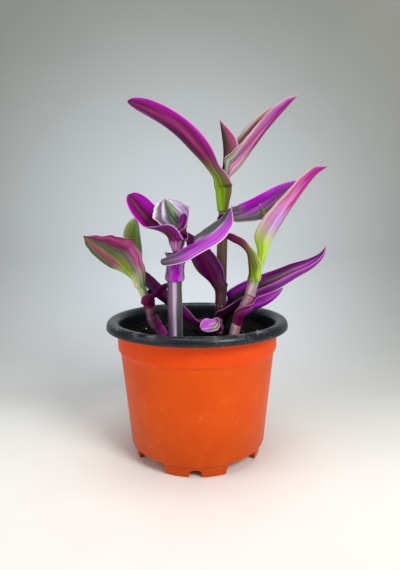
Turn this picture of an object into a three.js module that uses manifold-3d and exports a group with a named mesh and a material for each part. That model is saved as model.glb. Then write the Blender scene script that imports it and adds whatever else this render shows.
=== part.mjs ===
// A young tradescantia in a two-colour nursery pot.
//
// Millimetres, +Z up, and -Y is the front of the pot. Everything is drawn round the pot's own axis, and
// then the whole group is moved so that the origin is under the middle of the plant. Four leafy shoots and
// one low sprout stand in the soil. Every leaf is its own blade, whose closed base, the sheath, is wrapped
// round the stem just above a node.
import * as THREE from "three";
import { mergeVertices } from "three/addons/utils/BufferGeometryUtils.js";
import Module from "manifold-3d";

const wasm = await Module();
wasm.setup();

// The pot.
const POT_HEIGHT = 91.4;
const RIM_RADIUS = 60;
const SKIN = 0.7; // thickness of the orange skin, and of the black skin inside it
const COLLAR_RADIUS = 52.8;
const BODY_TOP_RADIUS = 51;
const BODY_FOOT_RADIUS = 45.1;
const FOOT_RING_RADIUS = 42;
const FOOT_HEIGHT = 7.6;
const FEET = 4;
const POT_TURN = -1.9; // degrees that the feet are turned from the front
const FOOT_GAP_TOP = 12; // half width of the gap between two feet, at the pot's floor
const FOOT_GAP_FOOT = 14; // and where the feet stand
const DRAIN_WIDTH = 7.8;
const DRAIN_HEIGHT = 5;
const ROUND_STEPS = 36;

// The soil.
const FLOOR_LEVEL = 9; // the inside of the pot's floor
const SOIL_LEVEL = 80.5;
const SOIL_BUMP = 0.5;
const GAP = 0.3; // clearance between a piece and what it is wrapped round or stands in

// The leaves.
const BLADE = 0.7; // thickness of a blade
const LEAF_STEPS = 12;
const HALF_STEPS = 4;
const TIP_WIDTH = 0.4; // half the width of a blade at its tip
const KEEL = 1.2; // a half rises from the midrib within this length, so that the keel is round
const MOUTH_WRAP = 85; // past the mouth of its sheath each half unrolls to so many degrees
const STEM_SIDES = 12;
const RING_STEP = 12; // the furthest that two rings of a stem stand apart

const PLANT_MIDDLE = 8.7; // from the pot's axis to the middle of the plant's width

const radians = THREE.MathUtils.degToRad;
const mix = THREE.MathUtils.lerp;
const smooth = (x) => THREE.MathUtils.smoothstep(x, 0, 1);
const point = ([x, y, z]) => new THREE.Vector3(x, y, z);

// The value at share 0 to 1 along evenly spaced keys.
function along(keys, share) {
  const place = THREE.MathUtils.clamp(share, 0, 1) * (keys.length - 1);
  const before = Math.min(Math.floor(place), keys.length - 2);
  return mix(keys[before], keys[before + 1], smooth(place - before));
}

// The value at height z along a list of [z, value] pairs.
function atHeight(pairs, z) {
  const after = pairs.findIndex(([height]) => height > z);
  if (after < 0) return pairs.at(-1)[1];
  if (after === 0) return pairs[0][1];
  const [[z0, v0], [z1, v1]] = [pairs[after - 1], pairs[after]];
  return mix(v0, v1, (z - z0) / (z1 - z0));
}

function geometryOf(points, faces) {
  const geometry = new THREE.BufferGeometry();
  geometry.setAttribute("position", new THREE.Float32BufferAttribute(points.flatMap((p) => p.toArray()), 3));
  geometry.setIndex(faces.flat());
  return geometry;
}

// A closed body through a stack of rings that each have the same number of points.
function loft(rings) {
  const size = rings[0].length;
  const points = rings.flat();
  const faces = [];
  for (let i = 0; i + 1 < rings.length; i++) {
    for (let j = 0; j < size; j++) {
      const [a, b] = [i * size + j, i * size + ((j + 1) % size)];
      faces.push([a, b, b + size], [a, b + size, a + size]);
    }
  }
  const last = (rings.length - 1) * size;
  for (const [first, ring, turned] of [[0, rings[0], true], [last, rings.at(-1), false]]) {
    const middle = points.push(ring.reduce((sum, p) => sum.add(p), point([0, 0, 0])).divideScalar(size)) - 1;
    for (let j = 0; j < size; j++) {
      const [a, b] = [first + j, first + ((j + 1) % size)];
      faces.push(turned ? [middle, b, a] : [middle, a, b]);
    }
  }
  return geometryOf(points, faces);
}

// A closed blade between two grids of points, split into triangles alike on both faces.
function bladeBetween(upper, lower) {
  const rows = upper.length;
  const columns = upper[0].length;
  const points = [...upper.flat(), ...lower.flat()];
  const under = rows * columns;
  const at = (i, j) => i * columns + j;
  const faces = [];
  for (let i = 0; i + 1 < rows; i++) {
    for (let j = 0; j + 1 < columns; j++) {
      const [a, b, c, d] = [at(i, j), at(i, j + 1), at(i + 1, j + 1), at(i + 1, j)];
      faces.push([a, b, c], [a, c, d], [under + a, under + c, under + b], [under + a, under + d, under + c]);
    }
  }
  const edge = [];
  for (let j = 0; j < columns; j++) edge.push(at(0, j));
  for (let i = 1; i < rows; i++) edge.push(at(i, columns - 1));
  for (let j = columns - 2; j >= 0; j--) edge.push(at(rows - 1, j));
  for (let i = rows - 2; i > 0; i--) edge.push(at(i, 0));
  edge.forEach((a, k) => {
    const b = edge[(k + 1) % edge.length];
    faces.push([a, under + a, under + b], [a, under + b, b]);
  });
  return geometryOf(points, faces);
}

function solid(geometry) {
  const bare = geometry.index ? geometry.toNonIndexed() : geometry.clone();
  for (const name of Object.keys(bare.attributes)) if (name !== "position") bare.deleteAttribute(name);
  const merged = mergeVertices(bare, 1e-3);
  const index = Array.from(merged.index.array);
  const kept = [];
  for (let i = 0; i < index.length; i += 3) {
    const [a, b, c] = index.slice(i, i + 3);
    if (a !== b && b !== c && c !== a) kept.push(a, b, c);
  }
  const vertProperties = merged.attributes.position.array;
  return new wasm.Manifold(new wasm.Mesh({ numProp: 3, vertProperties, triVerts: new Uint32Array(kept) }));
}

function geometryFrom(manifold) {
  const mesh = manifold.getMesh();
  const geometry = new THREE.BufferGeometry();
  geometry.setAttribute("position", new THREE.BufferAttribute(mesh.vertProperties, 3));
  geometry.setIndex(new THREE.BufferAttribute(mesh.triVerts, 1));
  return geometry;
}

// A body of revolution round +Z from [radius, height] pairs, listed so that its skin faces out.
function turned(profile, steps = ROUND_STEPS) {
  const outline = profile.map(([r, z]) => new THREE.Vector2(r, z));
  return new THREE.LatheGeometry(outline, steps).rotateX(Math.PI / 2);
}

const group = new THREE.Group();

function addMesh(name, geometry, color, roughness, metalness = 0) {
  const mesh = new THREE.Mesh(geometry, new THREE.MeshStandardMaterial({ color, roughness, metalness }));
  mesh.name = name;
  group.add(mesh);
}

// The pot: one sheet of two skins, orange outside and black inside. The sheet's edge is rolled over, so
// that the black skin shows on the rim.
function potSkins() {
  // Where the two skins meet, from the middle of the floor out, up the wall and over the rim.
  const wall = [
    [0, 8.3], [42.6, 8.3], [BODY_FOOT_RADIUS - SKIN, 10.2], [BODY_TOP_RADIUS - SKIN, 69.2],
    [BODY_TOP_RADIUS - SKIN + 0.5, 71], [COLLAR_RADIUS - SKIN, 73], [COLLAR_RADIUS - SKIN, 87],
    [53.8, 89.9], [56.4, 90.6], [58.4, 89.6], [59.2, 88], [59.4, 86.2],
  ];
  const under = [
    [0, FOOT_HEIGHT], [FOOT_RING_RADIUS - 2.2, FOOT_HEIGHT], [FOOT_RING_RADIUS - 2.2, 0],
    [FOOT_RING_RADIUS - 1, 0], [FOOT_RING_RADIUS, 0.8], [FOOT_RING_RADIUS + 0.8, 6.6], [44.2, FOOT_HEIGHT],
    [BODY_FOOT_RADIUS, 9.4], [BODY_TOP_RADIUS, 69], [BODY_TOP_RADIUS + 0.5, 70.8], [COLLAR_RADIUS, 72.8],
    [COLLAR_RADIUS, 87], [54.2, 89.3], [56.4, 89.9], [58, 89], [58.6, 87.8], [58.8, 86.2],
  ];
  const inside = [
    [RIM_RADIUS, 86.2], [RIM_RADIUS - 0.1, 88.2], [RIM_RADIUS - 1, 90.2], [56.6, POT_HEIGHT], [53.4, 90.8],
    [COLLAR_RADIUS - 2 * SKIN, 87.6], [COLLAR_RADIUS - 2 * SKIN, 73.2],
    [BODY_TOP_RADIUS - 2 * SKIN + 0.5, 71.2], [BODY_TOP_RADIUS - 2 * SKIN, 69.4],
    [BODY_FOOT_RADIUS - 2 * SKIN, 11], [41.6, FLOOR_LEVEL], [0, FLOOR_LEVEL],
  ];
  const orange = turned([...under, ...wall.toReversed()]);
  const black = turned([...wall, ...inside]);
  return { orange, black };
}

// The gaps between the feet and the drain notch in each foot, as one tool that is cut from the foot ring.
function footCutters() {
  const gap = new THREE.Shape([
    new THREE.Vector2(-FOOT_GAP_FOOT, -1), new THREE.Vector2(FOOT_GAP_FOOT, -1),
    new THREE.Vector2(FOOT_GAP_TOP, FOOT_HEIGHT), new THREE.Vector2(-FOOT_GAP_TOP, FOOT_HEIGHT),
  ]);
  const notch = new THREE.Shape();
  const half = DRAIN_WIDTH / 2;
  const corner = 2.6;
  notch.moveTo(-half, -1);
  notch.lineTo(half, -1);
  notch.lineTo(half, DRAIN_HEIGHT - corner);
  notch.absarc(half - corner, DRAIN_HEIGHT - corner, corner, 0, Math.PI / 2, false);
  notch.absarc(corner - half, DRAIN_HEIGHT - corner, corner, Math.PI / 2, Math.PI, false);
  const tools = [];
  for (let k = 0; k < FEET; k++) {
    for (const [shape, share] of [[notch, 0], [gap, 0.5]]) {
      const tool = new THREE.ExtrudeGeometry(shape, { depth: 14, bevelEnabled: false, curveSegments: 3 });
      // The outline stands up, and is pushed out along -Y from inside the foot ring.
      tool.rotateX(Math.PI / 2).translate(0, -FOOT_RING_RADIUS + 8, 0);
      tool.rotateZ(radians(POT_TURN + ((k + share) * 360) / FEET));
      tools.push(solid(tool));
    }
  }
  return tools.reduce((all, tool) => all.add(tool));
}

// A stem: a round body along its path, whose radius follows [height, radius] pairs.
function stemPath(points) {
  return new THREE.CatmullRomCurve3(points.map(point), false, "centripetal");
}

// Rings round a path at the heights of its [height, radius] pairs, and between those that stand far apart.
function stemRings(path, radii, extra = 0) {
  const heights = [];
  radii.forEach(([z], i) => {
    heights.push(z);
    const next = radii[i + 1]?.[0] ?? z;
    const parts = Math.ceil((next - z) / RING_STEP);
    for (let k = 1; k < parts; k++) heights.push(mix(z, next, k / parts));
  });
  return heights.map((z, i) => {
    const share = shareAtHeight(path, z);
    const tangent = path.getTangentAt(share);
    const middle = path.getPointAt(share).addScaledVector(tangent, i === 0 ? -extra : 0);
    const out = new THREE.Vector3(1, 0, 0).projectOnPlane(tangent).normalize();
    const side = tangent.clone().cross(out);
    const radius = atHeight(radii, z) + extra;
    return Array.from({ length: STEM_SIDES }, (_, k) => {
      const turn = (2 * Math.PI * k) / STEM_SIDES;
      const [x, y] = [radius * Math.cos(turn), radius * Math.sin(turn)];
      return middle.clone().addScaledVector(out, x).addScaledVector(side, y);
    });
  });
}

function shareAtHeight(path, z) {
  let [low, high] = [0, 1];
  for (let i = 0; i < 24; i++) {
    const middle = (low + high) / 2;
    if (path.getPointAt(middle).z < z) low = middle;
    else high = middle;
  }
  return (low + high) / 2;
}

// A leaf. Its midrib starts on the stem at its node, runs up the stem inside the sheath, and then follows
// path to the tip. Across, each half is an arc. In the sheath the two halves are wrapped round the stem.
// Past the mouth they open: a half then rises from the midrib by its fold and bends on by its curl. roll
// turns the whole blade about the midrib. left and right are seen from the stem, with the upper face up.
// wrap is how many degrees of the stem each half covers, flare makes the sheath a funnel whose mouth is
// wider by so many millimetres all round, and unroll is the length in which the halves leave the stem.
// Where a half would cut its stem or a sheath above its own, it is pushed out to lie round them.
function leafGeometry({ on, node, side = 0, sheath, face, path, left, right, roll, ...shape }) {
  const { opening = 0.3, lift = 2.5, flare = 0, unroll = 6, wrap = 168, ...widths } = shape;
  const stem = stemCurves[on];
  const radius = sheath ? sheathRadius(on, node) : 0;
  const later = LEAVES.filter((leaf) => leaf.on === on && leaf.sheath && leaf.node > node);
  const out = new THREE.Vector3(Math.cos(radians(side)), Math.sin(radians(side)), 0);
  const onStem = (height, off = 0) => {
    const share = shareAtHeight(stem, node + height);
    const away = out.clone().projectOnPlane(stem.getTangentAt(share)).normalize();
    const reach = radius + flare * Math.min(height / sheath, 1) + off;
    return stem.getPointAt(share).addScaledVector(away, reach);
  };
  const climb = [onStem(0), onStem(sheath / 2), onStem(sheath), onStem(sheath + lift, lift / 3)];
  const points = [...(sheath ? climb : []), ...path.map(point)];
  const midrib = new THREE.CatmullRomCurve3(points, false, "centripetal");
  const length = midrib.getLength();
  const mouth = sheath / length;
  let normal = face ? point(face) : out.clone().negate();
  let before = 0;
  const upper = [];
  const lower = [];
  for (const share of rowShares(mouth, length, unroll)) {
    const blade = THREE.MathUtils.clamp((share - mouth) / (1 - mouth), 0, 1);
    const open = sheath ? smooth(blade / opening) : 1;
    const held = mix(radians(wrap), radians(MOUTH_WRAP), smooth(((share - mouth) * length) / unroll));
    const cuff = sheath ? radius + flare * Math.min(share / mouth, 1) : 0;
    const middle = midrib.getPointAt(share);
    const tangent = midrib.getTangentAt(share);
    for (let k = 1; k <= 8; k++) {
      normal = normal.projectOnPlane(midrib.getTangentAt(mix(before, share, k / 8))).normalize();
    }
    before = share;
    const facing = normal.clone().applyAxisAngle(tangent, radians(along(roll, blade)) * open);
    const across = tangent.clone().cross(facing);
    const section = [
      ...halfSection(left).map(([x, y, slope]) => [-x, y, -slope]).reverse(),
      [0, 0, 0],
      ...halfSection(right),
    ];
    const row = section.map(([x, y, slope]) => pushedClear(
      middle.clone().addScaledVector(across, x).addScaledVector(facing, y),
      facing.clone().multiplyScalar(Math.cos(slope)).addScaledVector(across, -Math.sin(slope)),
    ));
    upper.push(row.map(([at, up]) => at.clone().addScaledVector(up, BLADE / 2)));
    lower.push(row.map(([at, up]) => at.clone().addScaledVector(up, -BLADE / 2)));

    // [across, up, slope] of one half's middle surface at each step from the midrib to its margin.
    function halfSection({ fold, curl, ...own }) {
      const width = mix(cuff * radians(wrap), bladeWidth(blade, { ...widths, ...own }), open);
      const rise = radians(along(fold, blade)) * open;
      const bend = mix(held, radians(along(curl, blade)), open);
      const slopeAt = (share) => rise * smooth((share * width) / KEEL) + bend * share;
      const fine = 6;
      const steps = HALF_STEPS * fine;
      let [x, y] = [0, 0];
      const points = [];
      for (let k = 1; k <= steps; k++) {
        const slope = slopeAt((k - 0.5) / steps);
        x += (Math.cos(slope) * width) / steps;
        y += (Math.sin(slope) * width) / steps;
        if (k % fine === 0) points.push([x, y, slopeAt(k / steps)]);
      }
      return points;
    }
  }
  return bladeBetween(upper, lower);

  // A point of the middle surface and its normal, moved out from the stem where they are too near it.
  function pushedClear(at, up) {
    if (at.z > STEMS[on].radii.at(-1)[0] + 3 || !sheath) return [at, up];
    const flare = at.z > node + sheath ? 0.6 : 0.1;
    const inSheath = (leaf) => at.z > leaf.node - 2 && at.z < leaf.node + leaf.sheath + 5;
    const bodies = later.filter(inSheath).map(
      (leaf) => sheathRadius(on, leaf.node) + (leaf.flare ?? 0) + BLADE / 2 + 0.8,
    );
    const clear = Math.max(atHeight(STEMS[on].radii, at.z) + flare, ...bodies) + GAP + BLADE / 2;
    const share = shareAtHeight(stem, at.z);
    const axis = stem.getPointAt(share);
    const away = at.clone().sub(axis).projectOnPlane(stem.getTangentAt(share));
    if (away.length() >= clear - 1e-3) return [at, up];
    const out = away.clone().normalize();
    const moved = at.clone().addScaledVector(out, clear - away.length());
    return [moved, out.negate()];
  }
}

// The radius of a sheath's middle surface.
function sheathRadius(on, node) {
  return atHeight(STEMS[on].radii, node + 1) + GAP + BLADE / 2;
}

// The places of a leaf's rows as shares of its midrib: close together where the sheath lets go of the stem,
// or where a blade without a sheath begins.
function rowShares(mouth, length, unroll) {
  const near = mouth ? [0, 0, unroll / 2, unroll] : [0, 0.8, 2.5, 5];
  const rows = near.map((distance, i) => (i ? mouth : 0) + distance / length);
  const steps = LEAF_STEPS + 1 - rows.length;
  for (let i = 1; i <= steps; i++) rows.push(mix(rows[3], 1, i / steps));
  return rows;
}

// The width of half a blade at a share of its length past the mouth: from base, a share of half, it swells
// to half where it is widest, and then narrows to the tip. Where it is given, outline lists it instead, as
// shares of half. A blade that begins free has a round end, which takes up a share of its length.
function bladeWidth(blade, { half, widest, blunt, base = 0.45, outline, round = 0 }) {
  const swell = mix(base, 1, smooth(blade / widest));
  const toTip = Math.max(0, (blade - widest) / (1 - widest));
  const share = outline ? along(outline, blade) : swell * (1 - toTip ** 2) ** blunt;
  const end = blade < round ? Math.sqrt(1 - (1 - blade / round) ** 2) : 1;
  return Math.max(half * share * end, TIP_WIDTH);
}

// The height of the soil above its level, at a place in the pot: low mounds with finer crumbs on them.
function soilBump(x, y) {
  const mounds = Math.sin(x / 9 + 1) * Math.cos(y / 11);
  const crumbs = Math.sin(x / 3.7 + y / 5.3) * Math.sin(y / 4.1);
  return SOIL_BUMP * (mounds + 0.6 * crumbs);
}

// The soil fills the pot up to its level, a little clear of the wall, and the stems stand in plain holes.
function soilGeometry() {
  const wall = [
    [BODY_FOOT_RADIUS - 2 * SKIN - 4, FLOOR_LEVEL + GAP],
    [BODY_FOOT_RADIUS - 2 * SKIN - GAP, FLOOR_LEVEL + 2.4],
    [BODY_TOP_RADIUS - 2 * SKIN - GAP, 69], [BODY_TOP_RADIUS - 2 * SKIN + 0.2 - GAP, 71.4],
    [COLLAR_RADIUS - 2 * SKIN - GAP, 74],
  ];
  const edge = COLLAR_RADIUS - 2 * SKIN - GAP;
  const rings = [...wall.map(([r, z]) => ringOf(r, () => z))];
  for (const share of [1, 0.9, 0.75, 0.6, 0.45, 0.3, 0.15]) {
    rings.push(ringOf(edge * share, (x, y) => SOIL_LEVEL + (share < 1 ? soilBump(x, y) : 0)));
  }
  let soil = solid(loft(rings));
  for (const [name, stem] of Object.entries(STEMS)) {
    soil = soil.subtract(solid(loft(stemRings(stemCurves[name], stem.radii, GAP))));
  }
  return geometryFrom(soil);

  function ringOf(radius, height) {
    return Array.from({ length: ROUND_STEPS }, (_, k) => {
      const turn = (2 * Math.PI * k) / ROUND_STEPS;
      const [x, y] = [radius * Math.cos(turn), radius * Math.sin(turn)];
      return new THREE.Vector3(x, y, height(x, y));
    });
  }
}

const LEAF_ROUGHNESS = 0.42;
const STEM_ROUGHNESS = 0.5;

// The stems: [x, y, z] points, and [height, radius] pairs that step in where a sheath is wrapped round them.
const STEMS = {
  tall: {
    path: [
      [16, 12, 64], [16, 12, 86], [16.5, 12, 101], [17, 12, 122], [17.5, 12, 145], [18, 12, 165],
      [19, 12, 185],
    ],
    radii: [
      [64, 3.9], [81, 3.9], [81.5, 3.1], [91.5, 3.1], [92.5, 3.9], [97.5, 4], [98, 3], [104, 3], [105.5, 2.7],
      [110, 2.7], [111.5, 3.6], [146.5, 3.6], [147, 2.8], [160.5, 2.9], [161, 2.6], [176, 2.6], [177, 1.8],
      [182, 1.7], [182.5, 1.1], [185, 1],
    ],
    color: "#6b4038",
  },
  front: {
    path: [
      [-13, -26, 64], [-13.3, -26, 100], [-13.3, -26, 119], [-12.7, -26, 128], [-11.2, -26, 137],
      [-10.6, -26, 144], [-9.5, -25.5, 151],
    ],
    radii: [
      [64, 4.8], [100, 4.6], [117, 4.4], [118.8, 4.7], [119.2, 3.8], [128, 3.6], [132, 2.7], [134.5, 2.6],
      [135.3, 1.8], [144.5, 1.6], [148.5, 1.6], [149.2, 1], [151, 0.9],
    ],
    color: "#6f6a78",
  },
  right: {
    path: [
      [22, -5, 64], [24.2, -6, 80], [27, -7, 91], [30, -8, 99], [34, -9, 106.5], [37.2, -10, 119],
      [39, -10, 126], [41, -10, 132],
    ],
    radii: [
      [64, 3.4], [87, 3.4], [88, 2.6], [99, 2.6], [100.5, 3], [107, 3.2], [107.5, 2.5], [116.5, 2.4],
      [118, 1.6], [128, 1.5], [128.5, 0.9], [131, 0.8],
    ],
    color: "#b98e86",
  },
  left: {
    path: [
      [-19, -2, 64], [-22.7, -3.5, 80], [-27, -5, 87], [-30, -6, 93], [-30.5, -7, 98], [-31.3, -8, 102],
      [-33, -9, 106], [-37, -10, 116], [-39, -10, 122],
    ],
    radii: [
      [64, 3.6], [86, 3.6], [87, 4], [92.5, 3.9], [93.5, 3.2], [100, 3.3], [100.4, 2.9], [101.4, 2.9],
      [101.7, 2.6], [103.6, 2.6], [104.6, 1.8], [114.5, 2], [115, 1.3], [122, 1],
    ],
    color: "#b4567f",
  },
  sprout: {
    path: [[15, -1, 72], [15, -1.5, 80], [15, -2, 88.4]],
    radii: [[72, 2.2], [81.6, 2.2], [82, 1.6], [83, 1.6], [83.6, 0.8], [88.4, 0.8]],
    color: "#8d6f66",
  },
};

// The leaves of each shoot, lowest first. side is where a leaf leaves its stem: 0 is +X and 90 is the back.
// half is the greatest width of half a blade. fold, curl and roll are degrees, from the mouth to the tip.
const LEAVES = [
  {
    name: "tall_leaf_1", color: "#7d2486", on: "tall", node: 81.5, side: 340, sheath: 4,
    widest: 0.15, blunt: 0.8, base: 0.8, opening: 0.18, roll: [0, 0, 0],
    path: [
      [27, 8, 93], [36, 8, 99], [46, 7, 104.5], [57, 5, 110.5], [67, 4, 117], [78, 3, 124], [84, 2, 131],
      [85.5, 1, 138],
    ],
    left: { half: 17, fold: [60, 60, 60], curl: [30, 20, 15] },
    right: { half: 11, fold: [20, 20, 20], curl: [40, 25, 15] },
  },
  {
    name: "tall_leaf_2", color: "#551247", on: "tall", node: 98, side: 228, sheath: 7,
    widest: 0.35, blunt: 0.8, roll: [0, 25, 20],
    path: [[10, 4, 115], [5, 0, 125], [0, -4, 135], [-6, -8, 148]],
    left: { half: 11, fold: [10, 15, 10], curl: [50, 30, 20] },
    right: { half: 11, fold: [10, 15, 10], curl: [50, 30, 20] },
  },
  {
    name: "tall_leaf_3", color: "#6f3f86", on: "tall", node: 147, side: 350, sheath: 7, unroll: 3,
    widest: 0.22, blunt: 0.7, base: 0.9, opening: 0.18, roll: [20, 45, 50],
    path: [[29, 8, 157], [40, 7, 160.8], [48, 7, 165.8], [57, 9, 172.5], [70, 13, 181.5]],
    left: { half: 10.5, fold: [10, 10, 10], curl: [40, 20, 10] },
    right: { half: 12, fold: [10, 10, 10], curl: [40, 20, 10] },
  },
  {
    name: "tall_leaf_4", color: "#8c1f74", on: "tall", node: 161, side: 195, sheath: 14, flare: 2.2,
    widest: 0.4, blunt: 0.5, opening: 0.2, roll: [10, 30, 35],
    path: [
      [12, 9, 182.5], [7, 6, 190], [-1, 2, 199], [-9, -1, 207.5], [-19, -4, 215.5], [-29, -6, 222],
      [-42, -8, 228.5],
    ],
    left: { half: 12, fold: [15, 15, 10], curl: [60, 40, 30] },
    right: { half: 12, fold: [20, 20, 10], curl: [60, 40, 30] },
  },
  {
    name: "tall_leaf_5", color: "#b5478f", on: "tall", node: 177.5, side: 0, sheath: 4, unroll: 3,
    widest: 0.35, blunt: 0.9, opening: 0.14, roll: [0, 0, 0],
    path: [[24.5, 12, 186], [29.5, 12, 191], [37, 11, 201], [46, 10, 213], [55, 8, 223.5], [66, 6, 235.5]],
    left: { half: 14, fold: [30, 65, 60], curl: [50, 30, 15] },
    right: {
      half: 13, outline: [0.7, 1, 0.9, 0.78, 0.72, 0.7, 0.68, 0.5, 0.03], fold: [55, 45, 40],
      curl: [40, 30, 15],
    },
  },
  {
    name: "tall_leaf_6", color: "#9c5a63", on: "tall", node: 182.5, side: 180, sheath: 1.5,
    widest: 0.55, blunt: 1.4, base: 0.2, opening: 0.15, roll: [0, 0, 0],
    path: [[18, 10.6, 192], [18, 9.8, 203], [17, 9.8, 212], [16, 9.8, 221]],
    left: { half: 10.5, fold: [80, 84, 84], curl: [8, 6, 4] },
    right: { half: 10.5, fold: [80, 84, 84], curl: [8, 6, 4] },
  },
  {
    name: "front_leaf_1", color: "#a83fa0", on: "front", face: [0, 0.3, 1], sheath: 0,
    widest: 0.45, blunt: 0.6, roll: [0, 0, 0],
    path: [
      [-21, -29, 132], [-17, -33, 134], [-12, -35, 136.5], [-6, -36, 140], [1, -36, 143], [8, -34, 146],
      [13, -31, 149.5], [18, -28, 155], [21.5, -26, 164],
    ],
    left: {
      half: 11, outline: [0.05, 0.15, 0.5, 0.95, 1, 0.9, 0.75, 0.5, 0.05], fold: [-30, -20, 50, 60, 40],
      curl: [0, 0, 20, 10],
    },
    right: {
      half: 13, widest: 0.35, base: 0.42, round: 0.12, fold: [-75, -70, -60, -50, -20], curl: [0, 0, 0],
    },
    collar: {
      outside: [[119.3, 5.2], [121.5, 5.5], [125, 5], [130.5, 4.8], [135, 7.4]],
      inside: [[131, 4.1], [135.7, 6.9]],
    },
  },
  {
    name: "front_leaf_2", color: "#a01a8a", on: "front", node: 135.3, side: 145, sheath: 6, flare: 3,
    unroll: 8, widest: 0.4, blunt: 0.5, base: 0.8, opening: 0.3, roll: [0, -50, -50],
    path: [
      [-20.5, -18.5, 149], [-26.5, -15, 153.5], [-32, -13.5, 159], [-37.2, -12.5, 165.5], [-42, -11.5, 172],
    ],
    left: { half: 11, base: 0.7, fold: [15, 15, 10], curl: [60, 50, 40] },
    right: { half: 9.5, widest: 0.6, base: 0.4, fold: [15, 15, 10], curl: [60, 50, 40] },
  },
  {
    name: "front_leaf_3", color: "#b7a9c4", on: "front", node: 145.4, side: 80, sheath: 2.5,
    widest: 0.55, blunt: 0.45, opening: 0.2, roll: [0, -5, 0],
    path: [[-12.8, -21, 154.5], [-15.4, -19, 159.5], [-17.6, -17.5, 164], [-19.2, -16, 168.8]],
    left: {
      half: 16.5, outline: [0.14, 0.12, 0.27, 0.78, 1, 0.9, 0.7, 0.45, 0.1], fold: [15, 20, 15],
      curl: [30, 60, 40],
    },
    right: {
      half: 15, outline: [0.23, 0.56, 0.93, 1, 0.88, 0.72, 0.58, 0.35, 0.05], fold: [15, 15, 10],
      curl: [50, 40, 30],
    },
  },
  {
    name: "front_leaf_4", color: "#9c2a86", on: "front", node: 149.4, side: 270, sheath: 0.8,
    widest: 0.4, blunt: 0.6, roll: [0, 0, 0],
    path: [[-8, -28.4, 154], [-6.8, -29.6, 159.5]],
    left: { half: 3.5, fold: [20, 20, 20], curl: [90, 70, 40] },
    right: { half: 3.5, fold: [20, 20, 20], curl: [90, 70, 40] },
  },
  {
    name: "right_leaf_1", color: "#7a1f78", on: "right", node: 88, side: 350, sheath: 5, flare: 0.3,
    widest: 0.35, blunt: 0.7, roll: [0, 0, 0],
    path: [[37, -6.5, 97], [42, -7, 98.8], [48, -8, 102.5], [53, -8, 107], [56, -8, 112]],
    left: { half: 9, fold: [40, 50, 40], curl: [60, 40, 20] },
    right: { half: 9, fold: [30, 40, 40], curl: [60, 40, 20] },
  },
  {
    name: "right_leaf_2", color: "#6d3a52", on: "right", node: 107.5, side: 205, sheath: 9,
    widest: 0.2, blunt: 0.7, opening: 0.15, roll: [0, 0, 0],
    path: [
      [33, -15, 127], [31.5, -17, 135], [27.5, -18, 139.5], [22, -18.5, 142.5], [16.5, -17, 146],
      [13, -16, 149.5],
    ],
    left: {
      half: 8.5, outline: [0.7, 0.95, 1, 0.75, 0.5, 0.6, 0.6, 0.4, 0.03], fold: [40, 50, 40],
      curl: [60, 40, 30],
    },
    right: {
      half: 8, outline: [0.7, 0.8, 0.9, 0.8, 0.8, 0.9, 0.8, 0.5, 0.03], fold: [40, 50, 40],
      curl: [60, 40, 30],
    },
  },
  {
    name: "right_leaf_3", color: "#c98cba", on: "right", node: 118.5, side: 340, sheath: 5,
    widest: 0.3, blunt: 1.1, roll: [0, 0, 0],
    path: [
      [44.5, -11.5, 133], [47.5, -13, 141.5], [51.5, -14, 150], [56, -15, 158], [61.5, -14, 166],
      [67, -12, 173.5], [76, -8, 184], [83, -6, 189],
    ],
    left: {
      half: 13, outline: [0.3, 0.5, 0.8, 0.9, 0.95, 0.85, 0.8, 0.5, 0.03], fold: [55, 60, 40],
      curl: [40, 25, 20],
    },
    right: {
      half: 13, outline: [0.25, 0.6, 1, 0.95, 0.8, 0.62, 0.6, 0.45, 0.03], fold: [55, 66, 40],
      curl: [40, 20, 20],
    },
  },
  {
    name: "right_leaf_4", color: "#6f6a24", on: "right", node: 128.5, side: 170, sheath: 1,
    widest: 0.6, blunt: 1, base: 0.2, opening: 0.15, roll: [0, 0, 0],
    path: [[41.4, -10.8, 138], [41.7, -11, 146], [41.6, -11, 155], [40, -10.6, 165.5]],
    left: { half: 4.5, fold: [80, 84, 84], curl: [8, 6, 4] },
    right: { half: 4.5, fold: [80, 84, 84], curl: [8, 6, 4] },
  },
  {
    name: "left_leaf_1", color: "#7a1250", on: "left", node: 100.4, side: 345, sheath: 3, lift: 0.8,
    unroll: 3, widest: 0.4, blunt: 0.7, roll: [0, 0, 0],
    path: [[-26, -11, 107], [-20, -9, 111.5], [-15, -5, 115.5]],
    left: { half: 5, base: 0.3, fold: [40, 50, 50], curl: [50, 40, 30] },
    right: { half: 5.5, base: 0.5, fold: [40, 50, 50], curl: [50, 40, 30] },
  },
  {
    name: "left_leaf_2", color: "#a03a6e", on: "left", node: 105, side: 200, sheath: 8, unroll: 3,
    widest: 0.45, blunt: 0.5, opening: 0.15, roll: [0, 60, 50],
    path: [[-40.5, -14, 118], [-46, -17, 124.5], [-53, -20, 131], [-60, -22.5, 138], [-68, -25, 146.5]],
    left: {
      half: 20, outline: [0.19, 0.4, 0.65, 0.84, 1, 0.8, 0.65, 0.34, 0.03], fold: [15, 15, 10],
      curl: [50, 40, 20],
    },
    right: {
      half: 9, outline: [0.5, 0.45, 0.45, 0.6, 0.9, 1, 0.95, 0.7, 0.05], fold: [15, 15, 10],
      curl: [50, 40, 20],
    },
  },
  {
    name: "left_leaf_3", color: "#9fc06a", on: "left", node: 115, side: 80, sheath: 3,
    widest: 0.5, blunt: 0.6, roll: [0, 0, 0],
    path: [[-38, -5, 128], [-39, -3, 138], [-40, -1, 147], [-39.5, 0, 157.5]],
    left: { half: 8.5, widest: 0.65, fold: [20, 20, 20], curl: [50, 40, 30] },
    right: { half: 6.5, fold: [20, 20, 20], curl: [50, 40, 30] },
  },
  {
    name: "low_leaf", color: "#5a1450", on: "sprout", node: 82, side: 170, sheath: 1.6, lift: 1,
    widest: 0.45, blunt: 0.6, roll: [0, 60, 80],
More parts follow.
